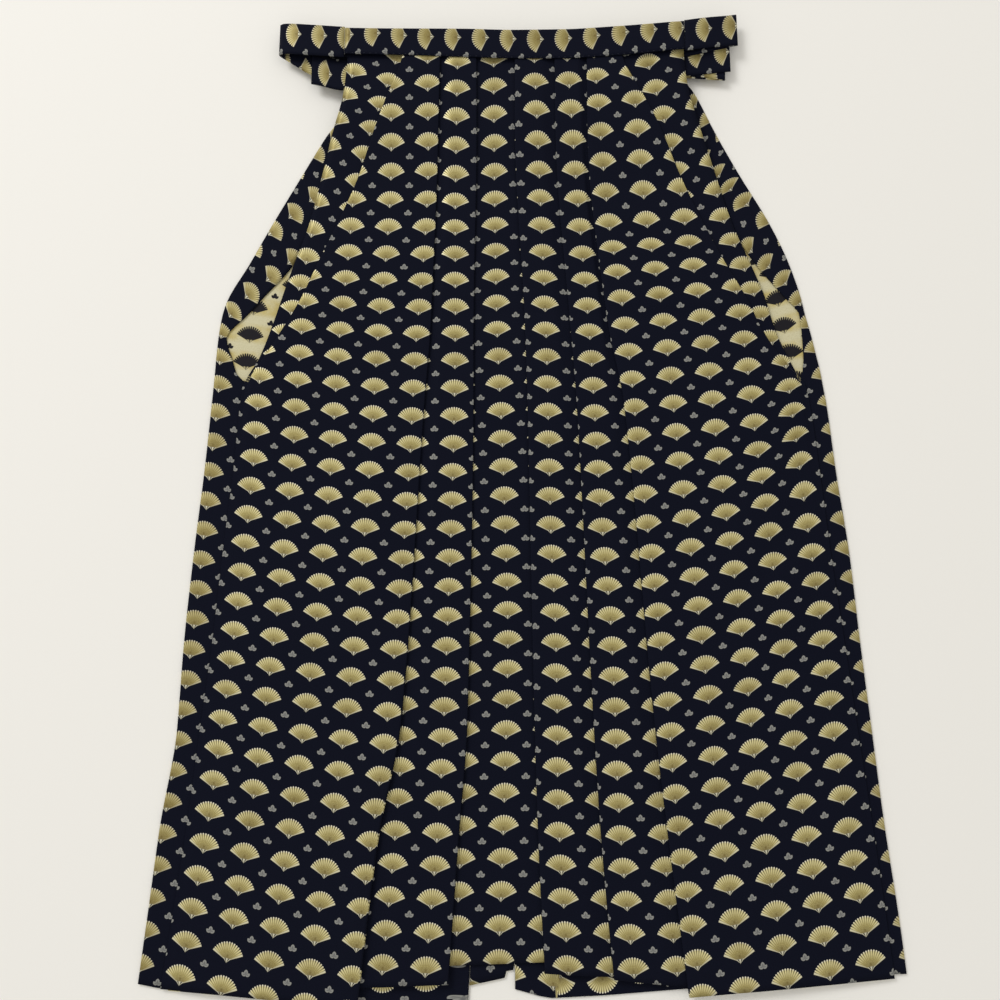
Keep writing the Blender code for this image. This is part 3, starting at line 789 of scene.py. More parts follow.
def build_turned_hem(name, hem_table, side, inner_edge, cloth):
    """Hem turned up inside the back, from the wrap at the side to the inner edge of the leg."""
    seam = "seam_r" if side < 0 else "seam_l"

    def seam_line(y):
        return edge_at(seam, y) - side * (SEAM_LAP + 2.0 * GAP)

    def centre_line(y):
        return along(inner_edge, y)

    left, right = (seam_line, centre_line) if side < 0 else (centre_line, seam_line)
    grid = flat_grid(
        left, right,
        lambda x: np.minimum(along(hem_table, x) + HEM_TURN + HEM_TUCK, HEM_STRIP_TOP),
        lambda x: along(hem_table, x) + HEM_EDGE,
        level(1), cloth, HEM_COLUMNS, HEM_ROWS,
    )
    x, y, z, across, up = grid
    fold = []
    for step in range(1, FOLD_STEPS + 1):
        angle = math.pi * step / FOLD_STEPS
        out = math.sin(angle) * FOLD_RADIUS
        drop = PITCH * (1.0 - math.cos(angle)) / 2.0
        fold.append((x[-1], y[-1] - out, z[-1] - drop, across[-1], up[-1] + step * HEM_TURN_CLOTH * MM))
    grid = [np.vstack([whole, np.array(turned)]) for whole, turned in zip(grid, zip(*fold))]
    return sheet_object(name, grid, (right_side, wrong_side), True)


def build_gussets(cloth):
    """Centre panels let in between the legs, under the centre pleat."""
    def outer(y):
        return pleat_at(CENTRE, y) + depth_at(CENTRE, y)

    right_gusset = flat_grid(
        lambda y: np.maximum(along(BACK_RIGHT_INNER, y) + GUSSET_SEAM, RIGHT_GUSSET_SIDE),
        outer,
        lambda x: CROTCH_Y + 0.0 * x,
        lambda x: along(RIGHT_GUSSET_HEM, x),
        level(1), cloth, RIGHT_GUSSET_COLUMNS, GUSSET_ROWS,
    )
    left_gusset = flat_grid(
        lambda y: outer(y) + GUSSET_SEAM,
        lambda y: outer(y) + LEFT_GUSSET_CROTCH_WIDTH
        + (LEFT_GUSSET_HEM_WIDTH - LEFT_GUSSET_CROTCH_WIDTH) * (CROTCH_Y - y) / (CROTCH_Y - HEM_STRIP_TOP),
        lambda x: CROTCH_Y + 0.0 * x,
        lambda x: LEFT_GUSSET_HEM + 0.0 * x,
        level(1), cloth, LEFT_GUSSET_COLUMNS, GUSSET_ROWS,
    )
    return (
        sheet_object("silk_right_gusset", right_gusset, (right_side, wrong_side), True),
        sheet_object("silk_left_gusset", left_gusset, (right_side, wrong_side), True),
    )


BAND_ROWS = 9
BAND_TURN_ROWS = 13
BAND_SILK = 1.0
# The band and ties roll a little towards the hem, so their figure is drawn larger across them
BAND_LEAN = 1.12


def build_band(name, xs, top_of, height, under, over, cloth):
    """Band doubled over an upper edge, from one end to the other."""
    radius = (over - under) / 2.0
    middle = (over + under) / 2.0
    x = np.array(xs)[None, :]
    top = top_of(x)
    bottom, bend = top - height(x), top - radius - WALL / 2.0
    share = np.linspace(0.0, 1.0, BAND_ROWS)[:, None]
    angle = np.linspace(0.0, math.pi, BAND_TURN_ROWS)[1:-1, None]
    y = np.vstack([
        bottom + (bend - bottom) * share,
        bend + radius * np.sin(angle),
        bend + (bottom - bend) * share,
    ])
    z = np.vstack([
        under + 0.0 * share + 0.0 * x,
        middle - radius * np.cos(angle) + 0.0 * x,
        over + 0.0 * share + 0.0 * x,
    ])
    x = x + 0.0 * y
    up, across = cloth(x, top - y)
    return sheet_object(name, [x, y, z, across, up], (shaded_copy_side,), True, BAND_SILK)


TIE_STEP = 5.0
TIE_ROWS = 9
TIE_TURN_ROWS = 9
LEAST_TIE_STEP = 1e-6


def run_lengths(points):
    """Length run from the first of a line's points to each, seen from the hem."""
    steps = np.diff(points, axis=0)
    return np.concatenate([[0.0], np.cumsum(np.hypot(steps[:, 0], steps[:, 2]))])


def tie_line(stations):
    """Middle line of a tie: smooth runs through its stations, joined by half turns."""
    lines = []
    run = []
    for station in stations + (None,):
        if station is None or station[0] == "turn":
            points = np.array(run)
            lengths = run_lengths(points)
            fine = np.unique(np.concatenate([np.arange(0.0, lengths[-1], TIE_STEP), lengths]))
            lines.append(np.array([curve(list(zip(lengths, points[:, k])), fine) for k in range(3)]).T)
            if station is None:
                break
            _, heading, rise = station
            x, y, z = run[-1]
            angle = np.linspace(0.0, math.pi, TIE_TURN_ROWS)[1:]
            arc_x = x + heading * abs(rise) / 2.0 * np.sin(angle)
            arc_z = z + rise * (1.0 - np.cos(angle)) / 2.0
            lines.append(np.stack([arc_x, y + 0.0 * angle, arc_z], axis=1))
            run = [(x, y, z + rise)]
        else:
            run.append(station)
    line = np.vstack(lines)
    return line[np.diff(run_lengths(line), prepend=-1.0) > LEAST_TIE_STEP]


# Length of a tie cut in one: where it starts, which way its fans point, where a fan lies on it, along
# it and off its middle line, and how closely the fans follow each other
Piecing = namedtuple("Piecing", "start way phase off closeness")


def build_ribbon(name, stations, height, piecings):
    """Tie through (x, y, z) stations, pieced from lengths of silk."""
    line = tie_line(stations)
    run = np.concatenate([[0.0], np.cumsum(np.linalg.norm(np.diff(line, axis=0), axis=1))])
    share = np.linspace(0.5, -0.5, TIE_ROWS)[:, None]
    x = line[None, :, 0] + 0.0 * share
    y = line[None, :, 1] + share * height
    z = line[None, :, 2] + 0.0 * share
    piecing = [[part for part in piecings if at >= part.start][-1] for at in run]
    start, way, phase, off, closeness = np.array(piecing).T
    up = way * ((run - start) * closeness + phase) * MM + 0.0 * share
    across = (share * height - off) / BAND_LEAN * MM
    return sheet_object(name, [x, y, z, across, up], (shaded_copy_side,), True, BAND_SILK)


# One fan of the band: how far above its middle and at which x, and the distance from fan to fan
BAND_FAN_OFF = 9.3
BAND_FAN_X = -8.1
BAND_FAN_STEP = 28.4
# The band is sewn a little narrower towards its ends
BAND_WIDTH = (
    (-178.3, 31.0), (-110.0, 31.8), (-58.0, 33.6), (0.0, 34.0), (48.0, 34.6), (95.0, 34.6), (172.0, 33.4)
)
# How far its figure slips down and slides along, in mm
BAND_SLIP = (
    (-178.0, 2.2), (-160.0, 0.4), (-143.0, -0.8), (-120.0, 1.4), (-104.0, 2.6), (-58.0, 3.8),
    (-28.0, 3.2), (4.0, 4.4), (30.0, 4.9), (55.0, 4.2), (85.0, 2.8), (125.0, 0.8), (150.0, 0.6),
    (162.0, 1.2), (172.0, 1.2),
)
BAND_SLIDE = (
    (-178.0, -0.6), (-143.0, -1.2), (-122.0, -2.0), (-58.0, -3.2), (-30.0, -2.8), (20.0, -3.2),
    (74.0, -2.0), (120.0, -0.2), (160.0, 0.6), (172.0, 0.6),
)
FRONT_BAND_COLUMNS = 90
BACK_BAND_COLUMNS = 60
BACK_BAND_ENDS = (-164.0, 159.0)
BACK_BAND_HEIGHT = 34.0


def band_cloth(x, down):
    """Grain of the band: the loom's length runs along it, with the fans' tips to the wearer's left."""
    across = (BAND_HEIGHT / 2.0 - BAND_FAN_OFF - down + curve(BAND_SLIP, x)) / BAND_LEAN * MM
    up = -(x - BAND_FAN_X - curve(BAND_SLIDE, x)) * FAN_ALONG / BAND_FAN_STEP * MM
    return up, across


FRONT_TIE_RIGHT = (
    (-178.6, 448.9, BAND_OVER),
    (-200.0, 450.8, 18.5),
    (-222.0, 453.2, 17.6),
    (-236.0, 455.0, 16.3),
    (-243.5, 456.0, 14.6),
    (-246.8, 456.2, 12.4),
    (-245.6, 455.4, 10.4),
    (-240.5, 452.6, 9.2),
    (-233.0, 447.6, TIE_A_HIGH),
    (-213.0, 435.2, TIE_A_HIGH),
    (-178.0, 424.5, TIE_A_HIGH),
    (-100.0, 423.0, TIE_A_HIGH),
    (100.0, 431.0, TIE_A_HIGH),
    (176.0, 430.2, TIE_A_HIGH),
    (214.1 - FOLD_EDGE, 426.0, TIE_A_HIGH),
    ("turn", 1, -PITCH),
    (150.0, 431.0, TIE_A_LOW),
    (-150.0, 440.0, TIE_A_LOW),
)
FRONT_TIE_LEFT = (
    (172.3, 453.0, BAND_OVER),
    (186.0, 455.4, 18.1),
    (203.0, 458.6, 16.1),
    (218.0, 461.4, 13.9),
    (227.8 - FOLD_EDGE, 463.0, BAND_UNDER),
    ("turn", 1, -PITCH),
    (150.0, 447.0, TIE_B_HIGH),
    (-100.0, 424.0, TIE_B_HIGH),
    (-178.0, 415.6, TIE_B_HIGH),
    (-213.1 + FOLD_EDGE, 423.9, TIE_B_HIGH),
    ("turn", -1, -PITCH),
    (-178.0, 417.6, TIE_B_LOW),
    (0.0, 421.0, TIE_B_LOW),
    (150.0, 428.0, TIE_B_LOW),
    (219.4, 434.4, TIE_B_LOW),
)
TIE_RIGHT_PIECINGS = (Piecing(0.0, 1, -0.6, 5.6, 1.03), Piecing(76.0, 1, -0.4, -17.0, 1.0))
TIE_LEFT_PIECINGS = (
    Piecing(0.0, -1, -18.4, 4.4, 0.97),
    Piecing(390.0, 1, 2.2, -2.0, 1.12),
    Piecing(618.0, -1, 14.8, 5.2, 1.045),
)
BACK_TIE_Y = 441.0
BACK_TIE_HEIGHT = BAND_HEIGHT - 2.0
# Ends of the back ties: where each is sewn on, where it turns and its hidden free end
BACK_TIES = (("right", -1, -108.0, -171.0, -12.0), ("left", 1, 104.0, 166.0, 8.0))

# ---------------------------------------------------------------- materials


def linear(hex_colour):
    """sRGB hex value to a linear colour."""
    channels = [int(hex_colour[i:i + 2], 16) / 255.0 for i in (1, 3, 5)]
    return tuple(c / 12.92 if c <= 0.04045 else ((c + 0.055) / 1.055) ** 2.4 for c in channels) + (1.0,)


def add(tree, kind, *inputs, out=0, **settings):
    """Node with its settings by name, and a value, link or hex colour for each input in order."""
    node = tree.nodes.new(kind)
    for name, value in settings.items():
        setattr(node, name, value)
    for socket, value in zip([s for s in node.inputs if s.enabled], inputs):
        if isinstance(value, bpy.types.NodeSocket):
            tree.links.new(value, socket)
        elif isinstance(value, str):
            socket.default_value = linear(value)
        elif value is not None:
            socket.default_value = value
    return node.outputs[out]


MATH = "ShaderNodeMath"
VECTOR = "ShaderNodeVectorMath"
RANGE = "ShaderNodeMapRange"
SPLIT = "ShaderNodeSeparateXYZ"
MIX = "ShaderNodeMix"
NOISE = "ShaderNodeTexNoise"
RGBA = {"out": 2, "data_type": "RGBA"}

# Chart of the fan in millimetres. Its pivot lies FAN_PIVOT below the middle of the figure
FAN_PIVOT = 8.55
FAN_RADIUS = 15.9
FAN_HALF_ANGLE = 1.13
FAN_CORNER_DROP = 0.85
FAN_RIB = 0.155
FAN_GUARD_FROM = 6.5 * FAN_RIB
FAN_SCALLOP = 1.2
FAN_GAP_HALF_WIDTH = 0.5
FAN_GAP = (9.0, 15.0)
FAN_TEETH = (12.4, 13.6)
FAN_GROOVE = (3.0, 8.0)
FAN_GROOVE_POWER = 1.5
FAN_TIP = 1.55
FAN_TAIL_SLOPE = 0.95
FAN_TAIL_TOP = 3.7
FAN_STROKE = (0.12, 0.3)
FAN_KNOT = 4.4
FAN_KNOT_HALF_WIDTH = 0.9
FAN_KNOT_HALF_HEIGHT = 1.2
FAN_KNOT_EDGE = (0.4, 1.4)
THREAD_EDGE = 0.25

# Chart of the small three-leaved figure between four fans: two leaves, round below and flat above,
# under a pointed one
LEAF_BESIDE = 1.5
LEAF_DROP = 1.35
LEAF_RADIUS = 2.25
LEAF_FLAT = -0.5
POINT_BESIDE = 0.9
POINT_RISE = -0.45
POINT_RADIUS = 2.7
LEAF_VEIN = 0.28
LEAF_HEART = 1.1


def cell_mm(tree, shift):
    """Place within the repeat, in millimetres from its middle; shift moves it by part of a repeat."""
    uv = add(tree, "ShaderNodeUVMap", uv_map="cloth")
    per_repeat = (1.0 / (FAN_ACROSS * MM), 1.0 / (FAN_ALONG * MM), 0.0)
    repeats = add(tree, VECTOR, uv, per_repeat, (0.5 + shift, 0.5 + shift, 0.0), operation="MULTIPLY_ADD")
    share = add(tree, VECTOR, repeats, operation="FRACTION")
    middle = add(tree, VECTOR, share, (0.5, 0.5, 0.0), operation="SUBTRACT")
    return add(tree, VECTOR, middle, (FAN_ACROSS, FAN_ALONG, 0.0), operation="MULTIPLY")


def covered(tree, outside, edge=THREAD_EDGE):
    """How much of the cloth a shape covers, from the distance outside it, with a thread's soft edge."""
    return add(tree, RANGE, outside, -edge, edge, 1.0, 0.0, interpolation_type="SMOOTHSTEP")


Fan = namedtuple("Fan", "whole gap groove guard tail stroke knot radius")


def fan_chart(tree, gap_ends):
    """Open fan of fifteen ribs with a three-stroke tail, every part from 0 to 1.

    gap_ends are the distances from the pivot where the gaps between the ribs start and are full.
    """
    place = add(tree, VECTOR, cell_mm(tree, 0.0), (0.0, FAN_PIVOT, 0.0), operation="ADD")
    radius = add(tree, VECTOR, place, operation="LENGTH", out=1)
    x, y = add(tree, SPLIT, place).node.outputs[:2]
    angle = add(tree, MATH, add(tree, MATH, x, y, operation="ARCTAN2"), operation="ABSOLUTE")
    beside = add(tree, MATH, x, operation="ABSOLUTE")

    # 0 on the spine of a rib, 1 in the gap beside it
    halves = add(tree, MATH, angle, 2.0 / FAN_RIB, operation="MULTIPLY")
    off_spine = add(tree, MATH, halves, 1.0, operation="PINGPONG")
    guard = add(tree, MATH, angle, FAN_GUARD_FROM, operation="GREATER_THAN")
    between_guards = add(tree, MATH, 1.0, guard, operation="SUBTRACT")
    notch = add(tree, MATH, add(tree, MATH, off_spine, 2.0, operation="POWER"), between_guards,
                operation="MULTIPLY")
    notched = add(tree, MATH, notch, FAN_SCALLOP, radius, operation="MULTIPLY_ADD")
    dropped = add(tree, MATH, add(tree, MATH, angle, 2.0, operation="POWER"),
                  FAN_CORNER_DROP / FAN_HALF_ANGLE ** 2, notched, operation="MULTIPLY_ADD")
    past_rim = add(tree, MATH, dropped, FAN_RADIUS, operation="SUBTRACT")
    past_guard = add(tree, MATH, add(tree, MATH, angle, FAN_HALF_ANGLE, operation="SUBTRACT"), radius,
                     operation="MULTIPLY")
    leaf = covered(tree, add(tree, MATH, past_rim, past_guard, operation="MAXIMUM"))

    groove = add(tree, MATH, add(tree, MATH, off_spine, FAN_GROOVE_POWER, operation="POWER"),
                 add(tree, RANGE, radius, *FAN_GROOVE, 0.0, 1.0), operation="MULTIPLY")
    from_gap = add(tree, MATH, add(tree, MATH, 1.0, off_spine, operation="SUBTRACT"),
                   add(tree, MATH, radius, FAN_RIB / 2.0, operation="MULTIPLY"), operation="MULTIPLY")
    gap_width = add(tree, RANGE, radius, gap_ends[0], FAN_RADIUS, 0.0, FAN_GAP_HALF_WIDTH)
    gap = covered(tree, add(tree, MATH, from_gap, gap_width, operation="SUBTRACT"))
    gap = add(tree, MATH, gap, add(tree, RANGE, radius, *gap_ends, 0.0, 1.0), operation="MULTIPLY")
    gap = add(tree, MATH, gap, between_guards, operation="MULTIPLY")

    height = add(tree, MATH, y, FAN_TIP, operation="ADD")
    half_width = add(tree, MATH, height, FAN_TAIL_SLOPE, operation="MULTIPLY")
    past_flank = add(tree, MATH, beside, half_width, operation="SUBTRACT")
    past_top = add(tree, MATH, height, FAN_TAIL_TOP, operation="SUBTRACT")
    tail = covered(tree, add(tree, MATH, past_flank, past_top, operation="MAXIMUM"))
    off_middle = add(tree, MATH, beside, half_width, operation="DIVIDE", use_clamp=True)
    between = add(tree, MATH, add(tree, MATH, off_middle, 0.5, operation="SUBTRACT"), operation="ABSOLUTE")
    stroke = add(tree, RANGE, between, *FAN_STROKE, 0.0, 1.0, interpolation_type="SMOOTHSTEP")

    knot_place = add(tree, VECTOR, add(tree, VECTOR, place, (0.0, FAN_KNOT, 0.0), operation="SUBTRACT"),
                     (1.0 / FAN_KNOT_HALF_WIDTH, 1.0 / FAN_KNOT_HALF_HEIGHT, 0.0), operation="MULTIPLY")
    from_knot = add(tree, VECTOR, knot_place, operation="LENGTH", out=1)
    knot = add(tree, RANGE, from_knot, *FAN_KNOT_EDGE, 1.0, 0.0)
    whole = add(tree, MATH, leaf, tail, operation="MAXIMUM")
    return Fan(whole, gap, groove, guard, tail, stroke, knot, radius)


def leaves_chart(tree):
    """Cover of the small three-leaved figure, and how dark the veins and hearts of its leaves are."""
    x, y = add(tree, SPLIT, cell_mm(tree, 0.5)).node.outputs[:2]
    beside = add(tree, MATH, x, operation="ABSOLUTE")
    edges = []
    circles = ((POINT_BESIDE, POINT_RISE, POINT_RADIUS), (-LEAF_BESIDE, -LEAF_DROP, LEAF_RADIUS))
    for shift, rise, radius in circles:
        place = add(tree, "ShaderNodeCombineXYZ", add(tree, MATH, beside, shift, operation="ADD"),
                    add(tree, MATH, y, rise, operation="SUBTRACT"))
        edges.append(add(tree, MATH, add(tree, VECTOR, place, operation="LENGTH", out=1), radius,
                         operation="SUBTRACT"))
    above_flat = add(tree, MATH, y, LEAF_FLAT, operation="SUBTRACT")
    edges[1] = add(tree, MATH, edges[1], above_flat, operation="MAXIMUM")
    nearest = add(tree, MATH, *edges, operation="MINIMUM")
    apart = add(tree, MATH, add(tree, MATH, *edges, operation="SUBTRACT"), operation="ABSOLUTE")
    vein = covered(tree, add(tree, MATH, apart, LEAF_VEIN, operation="SUBTRACT"))
    heart = covered(tree, add(tree, MATH, nearest, LEAF_HEART, operation="ADD"))
    return covered(tree, nearest), add(tree, MATH, vein, heart, operation="MAXIMUM")


# Finishes of the silk
NAVY = "#090B17"
NAVY_LIGHT = "#111423"
FOIL_TIP = "#F6F1DC"
FOIL_RIM = "#E2D79F"
FOIL_BODY = "#BFB378"
FOIL_CORE = "#8C815B"
FOIL_SHADE = "#6E5D2E"
FOIL_GAP = "#1E1B14"
TAIL_PALE = "#D6D2BA"
SILVER = "#8E8E89"
SILVER_DARK = "#4A4B50"
CREAM = "#D2CCA9"
YELLOW_FLOAT = "#C4B474"
FLOAT_SHADE = "#9A875A"
WRONG_NAVY = "#17151B"

# Distances from the pivot, in millimetres, between which one tone of the foil passes into the next,
# and between which its wear fades
CORE_TO_BODY = (2.5, 8.0)
BODY_TO_RIM = (8.5, 13.0)
RIM_TO_TIP = (14.2, 15.6)
WORN_FADES = (7.0, 12.0)

# How much of the foil a tone takes where it is strongest
WORN_DOTS = 0.4
WORN_RIM = 0.15
KNOT_SHADE = 0.6
GROOVE_SHADE = 0.5
GUARD_PALE = 0.6
TAIL_COVER = 0.85
TAIL_STROKES = 0.9
WRONG_TAIL_LEAST = 0.2
LEAF_SHADE = 0.6
# Painted shade: cloth turned across the light gets this much darker foil tone in its colour
FOIL_PAINTED_SHADE = 0.3

# Surfaces: the satin ground is matt, the foil smoother and a little metallic, the floats between
GROUND_ROUGHNESS = 0.8
FIGURE_ROUGHNESS = 0.42
GROUND_SHINE = 0.06
FOIL_METALLIC = 0.2
FIGURE_RAISED = 0.7
WEFT_RAISED = 0.12
FLOAT_ROUGHNESS = 0.5
WRONG_FIGURE_ROUGHNESS = 0.75
FLOAT_SHINE = 0.2

# The binding warps lie about 0.4 mm apart and the wefts about 0.3 mm, too fine to show: both are
# drawn about three times as coarse
BIND_ACROSS_MM = 1.3
BIND_ALONG_MM = 1.7
WEFT_MM = 0.9
NOISE_FINE_MM = 1.1
NOISE_DRIFT_MM = 16.0
NOISE_PATCH_MM = 55.0
NOISE_DETAIL = 2.0
NOISE_ROUGHNESS = 0.6
# From and to which noise a tone comes in, and its share at each
SPECKLE_WORN = (0.35, 0.65, 0.0, 0.4)
PATCH_WORN = (0.5, 0.75, 0.0, 0.3)
DRIFT_GOLD = (0.35, 0.6, 0.25, 1.0)
SPECKLE_FLOATS = (0.4, 0.75, 0.0, 0.35)
BIND_DOTS = (0.25, 0.8)
WEFT_WAVES = 0.16
RIGHT_BUMP = (0.35, 0.25 * MM)
WRONG_BUMP = (0.3, 0.2 * MM)
# The wrong side is golden in rows behind the fans, within these distances of their middle
GOLD_ROWS_MM = (11.0, 6.0)


def cloth_noise(tree, uv, grain_mm):
    """Noise over the cloth with a given size of grain."""
    scale = 1.0 / (grain_mm * MM)
    place = add(tree, VECTOR, uv, (scale, scale, 0.0), operation="MULTIPLY")
    return add(tree, NOISE, place, 1.0, NOISE_DETAIL, NOISE_ROUGHNESS)


def new_silk(name):
    """New material with its tree and shader, and the coordinates of the cloth."""
    silk = bpy.data.materials.new(name)
    silk.use_nodes = True
    tree = silk.node_tree
    return silk, tree, tree.nodes["Principled BSDF"], add(tree, "ShaderNodeUVMap", uv_map="cloth")


def binding_dots(tree, uv):
    """Dark points in staggered rows where the warp binds down the foil."""
    turns = (2.0 * math.pi / (BIND_ACROSS_MM * MM), 2.0 * math.pi / (BIND_ALONG_MM * MM), 0.0)
    x, y = add(tree, SPLIT, add(tree, VECTOR, uv, turns, operation="MULTIPLY")).node.outputs[:2]
    wave = add(tree, MATH, add(tree, MATH, x, operation="SINE"), add(tree, MATH, y, operation="SINE"),
               operation="MULTIPLY")
    return add(tree, RANGE, wave, *BIND_DOTS, 0.0, 1.0)


def figured_silk(name, painted_shade):
    """Jacquard silk, right side: a matt near-black navy satin ground under raised weft figures.

    The gold weft is flat foil on paper. It flashes pale seen along the cloth and goes dull turned across
    the light; that dullness is painted shade, mixed evenly into the foil's colour by the last argument.
    """
    silk, tree, shader, uv = new_silk(name)
    fan = fan_chart(tree, FAN_GAP)
    leaves, leaf_dark = leaves_chart(tree)
    speckle = cloth_noise(tree, uv, NOISE_FINE_MM)
    patch = cloth_noise(tree, uv, NOISE_PATCH_MM)
    dots = binding_dots(tree, uv)

    foil = FOIL_CORE
    for after, ends in ((FOIL_BODY, CORE_TO_BODY), (FOIL_RIM, BODY_TO_RIM), (FOIL_TIP, RIM_TO_TIP)):
        foil = add(tree, MIX, add(tree, RANGE, fan.radius, *ends, 0.0, 1.0), foil, after, **RGBA)
    worn = add(tree, MATH, add(tree, RANGE, speckle, *SPECKLE_WORN),
               add(tree, MATH, dots, WORN_DOTS, operation="MULTIPLY"), operation="ADD")
    fades = add(tree, RANGE, fan.radius, *WORN_FADES, 1.0, WORN_RIM)
    worn = add(tree, MATH, worn, fades, operation="MULTIPLY")
    worn = add(tree, MATH, worn, add(tree, RANGE, patch, *PATCH_WORN), operation="ADD", use_clamp=True)
    tail_shade = add(tree, RANGE, fan.stroke, 0.0, 1.0, TAIL_STROKES, 0.0)
    shades = (
        (worn, FOIL_SHADE),
        (add(tree, MATH, fan.knot, KNOT_SHADE, operation="MULTIPLY"), FOIL_SHADE),
        (add(tree, MATH, fan.groove, GROOVE_SHADE, operation="MULTIPLY"), FOIL_SHADE),
        (fan.gap, FOIL_GAP),
        (add(tree, MATH, fan.guard, GUARD_PALE, operation="MULTIPLY"), TAIL_PALE),
        # Painted shade: darker foil mixed in evenly, standing in for foil turned across the light
        (painted_shade, FOIL_SHADE),
        (add(tree, MATH, fan.tail, TAIL_COVER, operation="MULTIPLY"), TAIL_PALE),
        (add(tree, MATH, fan.tail, tail_shade, operation="MULTIPLY"), FOIL_GAP),
    )
    for share, tone in shades:
        foil = add(tree, MIX, share, foil, tone, **RGBA)
    leaf_shade = add(tree, MATH, leaf_dark, LEAF_SHADE, operation="MULTIPLY")
    silver = add(tree, MIX, leaf_shade, SILVER, SILVER_DARK, **RGBA)
    ground = add(tree, MIX, speckle, NAVY, NAVY_LIGHT, **RGBA)
    colour = add(tree, MIX, fan.whole, ground, foil, **RGBA)
    colour = add(tree, MIX, leaves, colour, silver, **RGBA)
    tree.links.new(colour, shader.inputs["Base Color"])

    bare_foil = add(tree, MATH, fan.whole, add(tree, MATH, 1.0, fan.gap, operation="SUBTRACT"),
                    operation="MULTIPLY")
    figure = add(tree, MATH, bare_foil, leaves, operation="MAXIMUM")
    metallic = add(tree, MATH, bare_foil, FOIL_METALLIC, operation="MULTIPLY")
    roughness = add(tree, RANGE, figure, 0.0, 1.0, GROUND_ROUGHNESS, FIGURE_ROUGHNESS)
    tree.links.new(metallic, shader.inputs["Metallic"])
    tree.links.new(roughness, shader.inputs["Roughness"])
    shader.inputs["Specular IOR Level"].default_value = GROUND_SHINE

    wefts = add(tree, VECTOR, uv, (0.0, 1.0 / (WEFT_MM * MM), 0.0), operation="MULTIPLY")
    ribs = add(tree, "ShaderNodeTexWave", wefts, WEFT_WAVES, bands_direction="Y")
    height = add(tree, MATH, add(tree, MATH, figure, FIGURE_RAISED, operation="MULTIPLY"),
                 add(tree, MATH, ribs, WEFT_RAISED, operation="MULTIPLY"), operation="ADD")
    tree.links.new(add(tree, "ShaderNodeBump", *RIGHT_BUMP, None, height), shader.inputs["Normal"])
    return silk


def silk_wrong_side():
    """Same silk, wrong side: cream and golden weft floats, with the figures dark and toothed."""
    silk, tree, shader, uv = new_silk("figured_silk_wrong_side")
    fan = fan_chart(tree, FAN_TEETH)
    leaves, _ = leaves_chart(tree)
    up = add(tree, MATH, add(tree, SPLIT, cell_mm(tree, 0.0)).node.outputs[1], operation="ABSOLUTE")
    drift = cloth_noise(tree, uv, NOISE_DRIFT_MM)
    speckle = cloth_noise(tree, uv, NOISE_FINE_MM)
    gold_rows = add(tree, MATH, add(tree, RANGE, up, *GOLD_ROWS_MM, 0.0, 1.0),
                    add(tree, RANGE, drift, *DRIFT_GOLD), operation="MULTIPLY")
    floats = add(tree, MIX, gold_rows, CREAM, YELLOW_FLOAT, **RGBA)
    floats = add(tree, MIX, add(tree, RANGE, speckle, *SPECKLE_FLOATS), floats, FLOAT_SHADE, **RGBA)
    toothed = add(tree, MATH, fan.whole, add(tree, MATH, 1.0, fan.gap, operation="SUBTRACT"),
                  operation="MULTIPLY")
    strokes = add(tree, RANGE, fan.stroke, 0.0, 1.0, TAIL_STROKES, WRONG_TAIL_LEAST)
    tail_line = add(tree, MATH, fan.tail, strokes, operation="MULTIPLY")
    toothed = add(tree, MATH, toothed, add(tree, MATH, 1.0, tail_line, operation="SUBTRACT"),
                  operation="MULTIPLY")
    dark = add(tree, MATH, toothed, leaves, operation="MAXIMUM")
    colour = add(tree, MIX, dark, floats, WRONG_NAVY, **RGBA)
    tree.links.new(colour, shader.inputs["Base Color"])
    roughness = add(tree, RANGE, dark, 0.0, 1.0, FLOAT_ROUGHNESS, WRONG_FIGURE_ROUGHNESS)
    tree.links.new(roughness, shader.inputs["Roughness"])
    shader.inputs["Specular IOR Level"].default_value = FLOAT_SHINE
    tree.links.new(add(tree, "ShaderNodeBump", *WRONG_BUMP, None, speckle), shader.inputs["Normal"])
    return silk


def plain_material(name, colour, roughness):
    """Material of one colour."""
    material = bpy.data.materials.new(name)
    material.use_nodes = True
    shader = material.node_tree.nodes["Principled BSDF"]
    shader.inputs["Base Color"].default_value = linear(colour)
    shader.inputs["Roughness"].default_value = roughness
    return material


right_side = figured_silk("figured_silk_right_side", 0.0)
# Copy of the silk with painted shade in its foil, for the backs, the band and the ties
shaded_copy_side = figured_silk("figured_silk_turned_across", FOIL_PAINTED_SHADE)
wrong_side = silk_wrong_side()

# ---------------------------------------------------------------- garment

RIGHT_PLEATS = (RIGHT_OUTER, RIGHT_INNER)
LEFT_PLEATS = (LEFT_OUTER, LEFT_INNER, CENTRE)

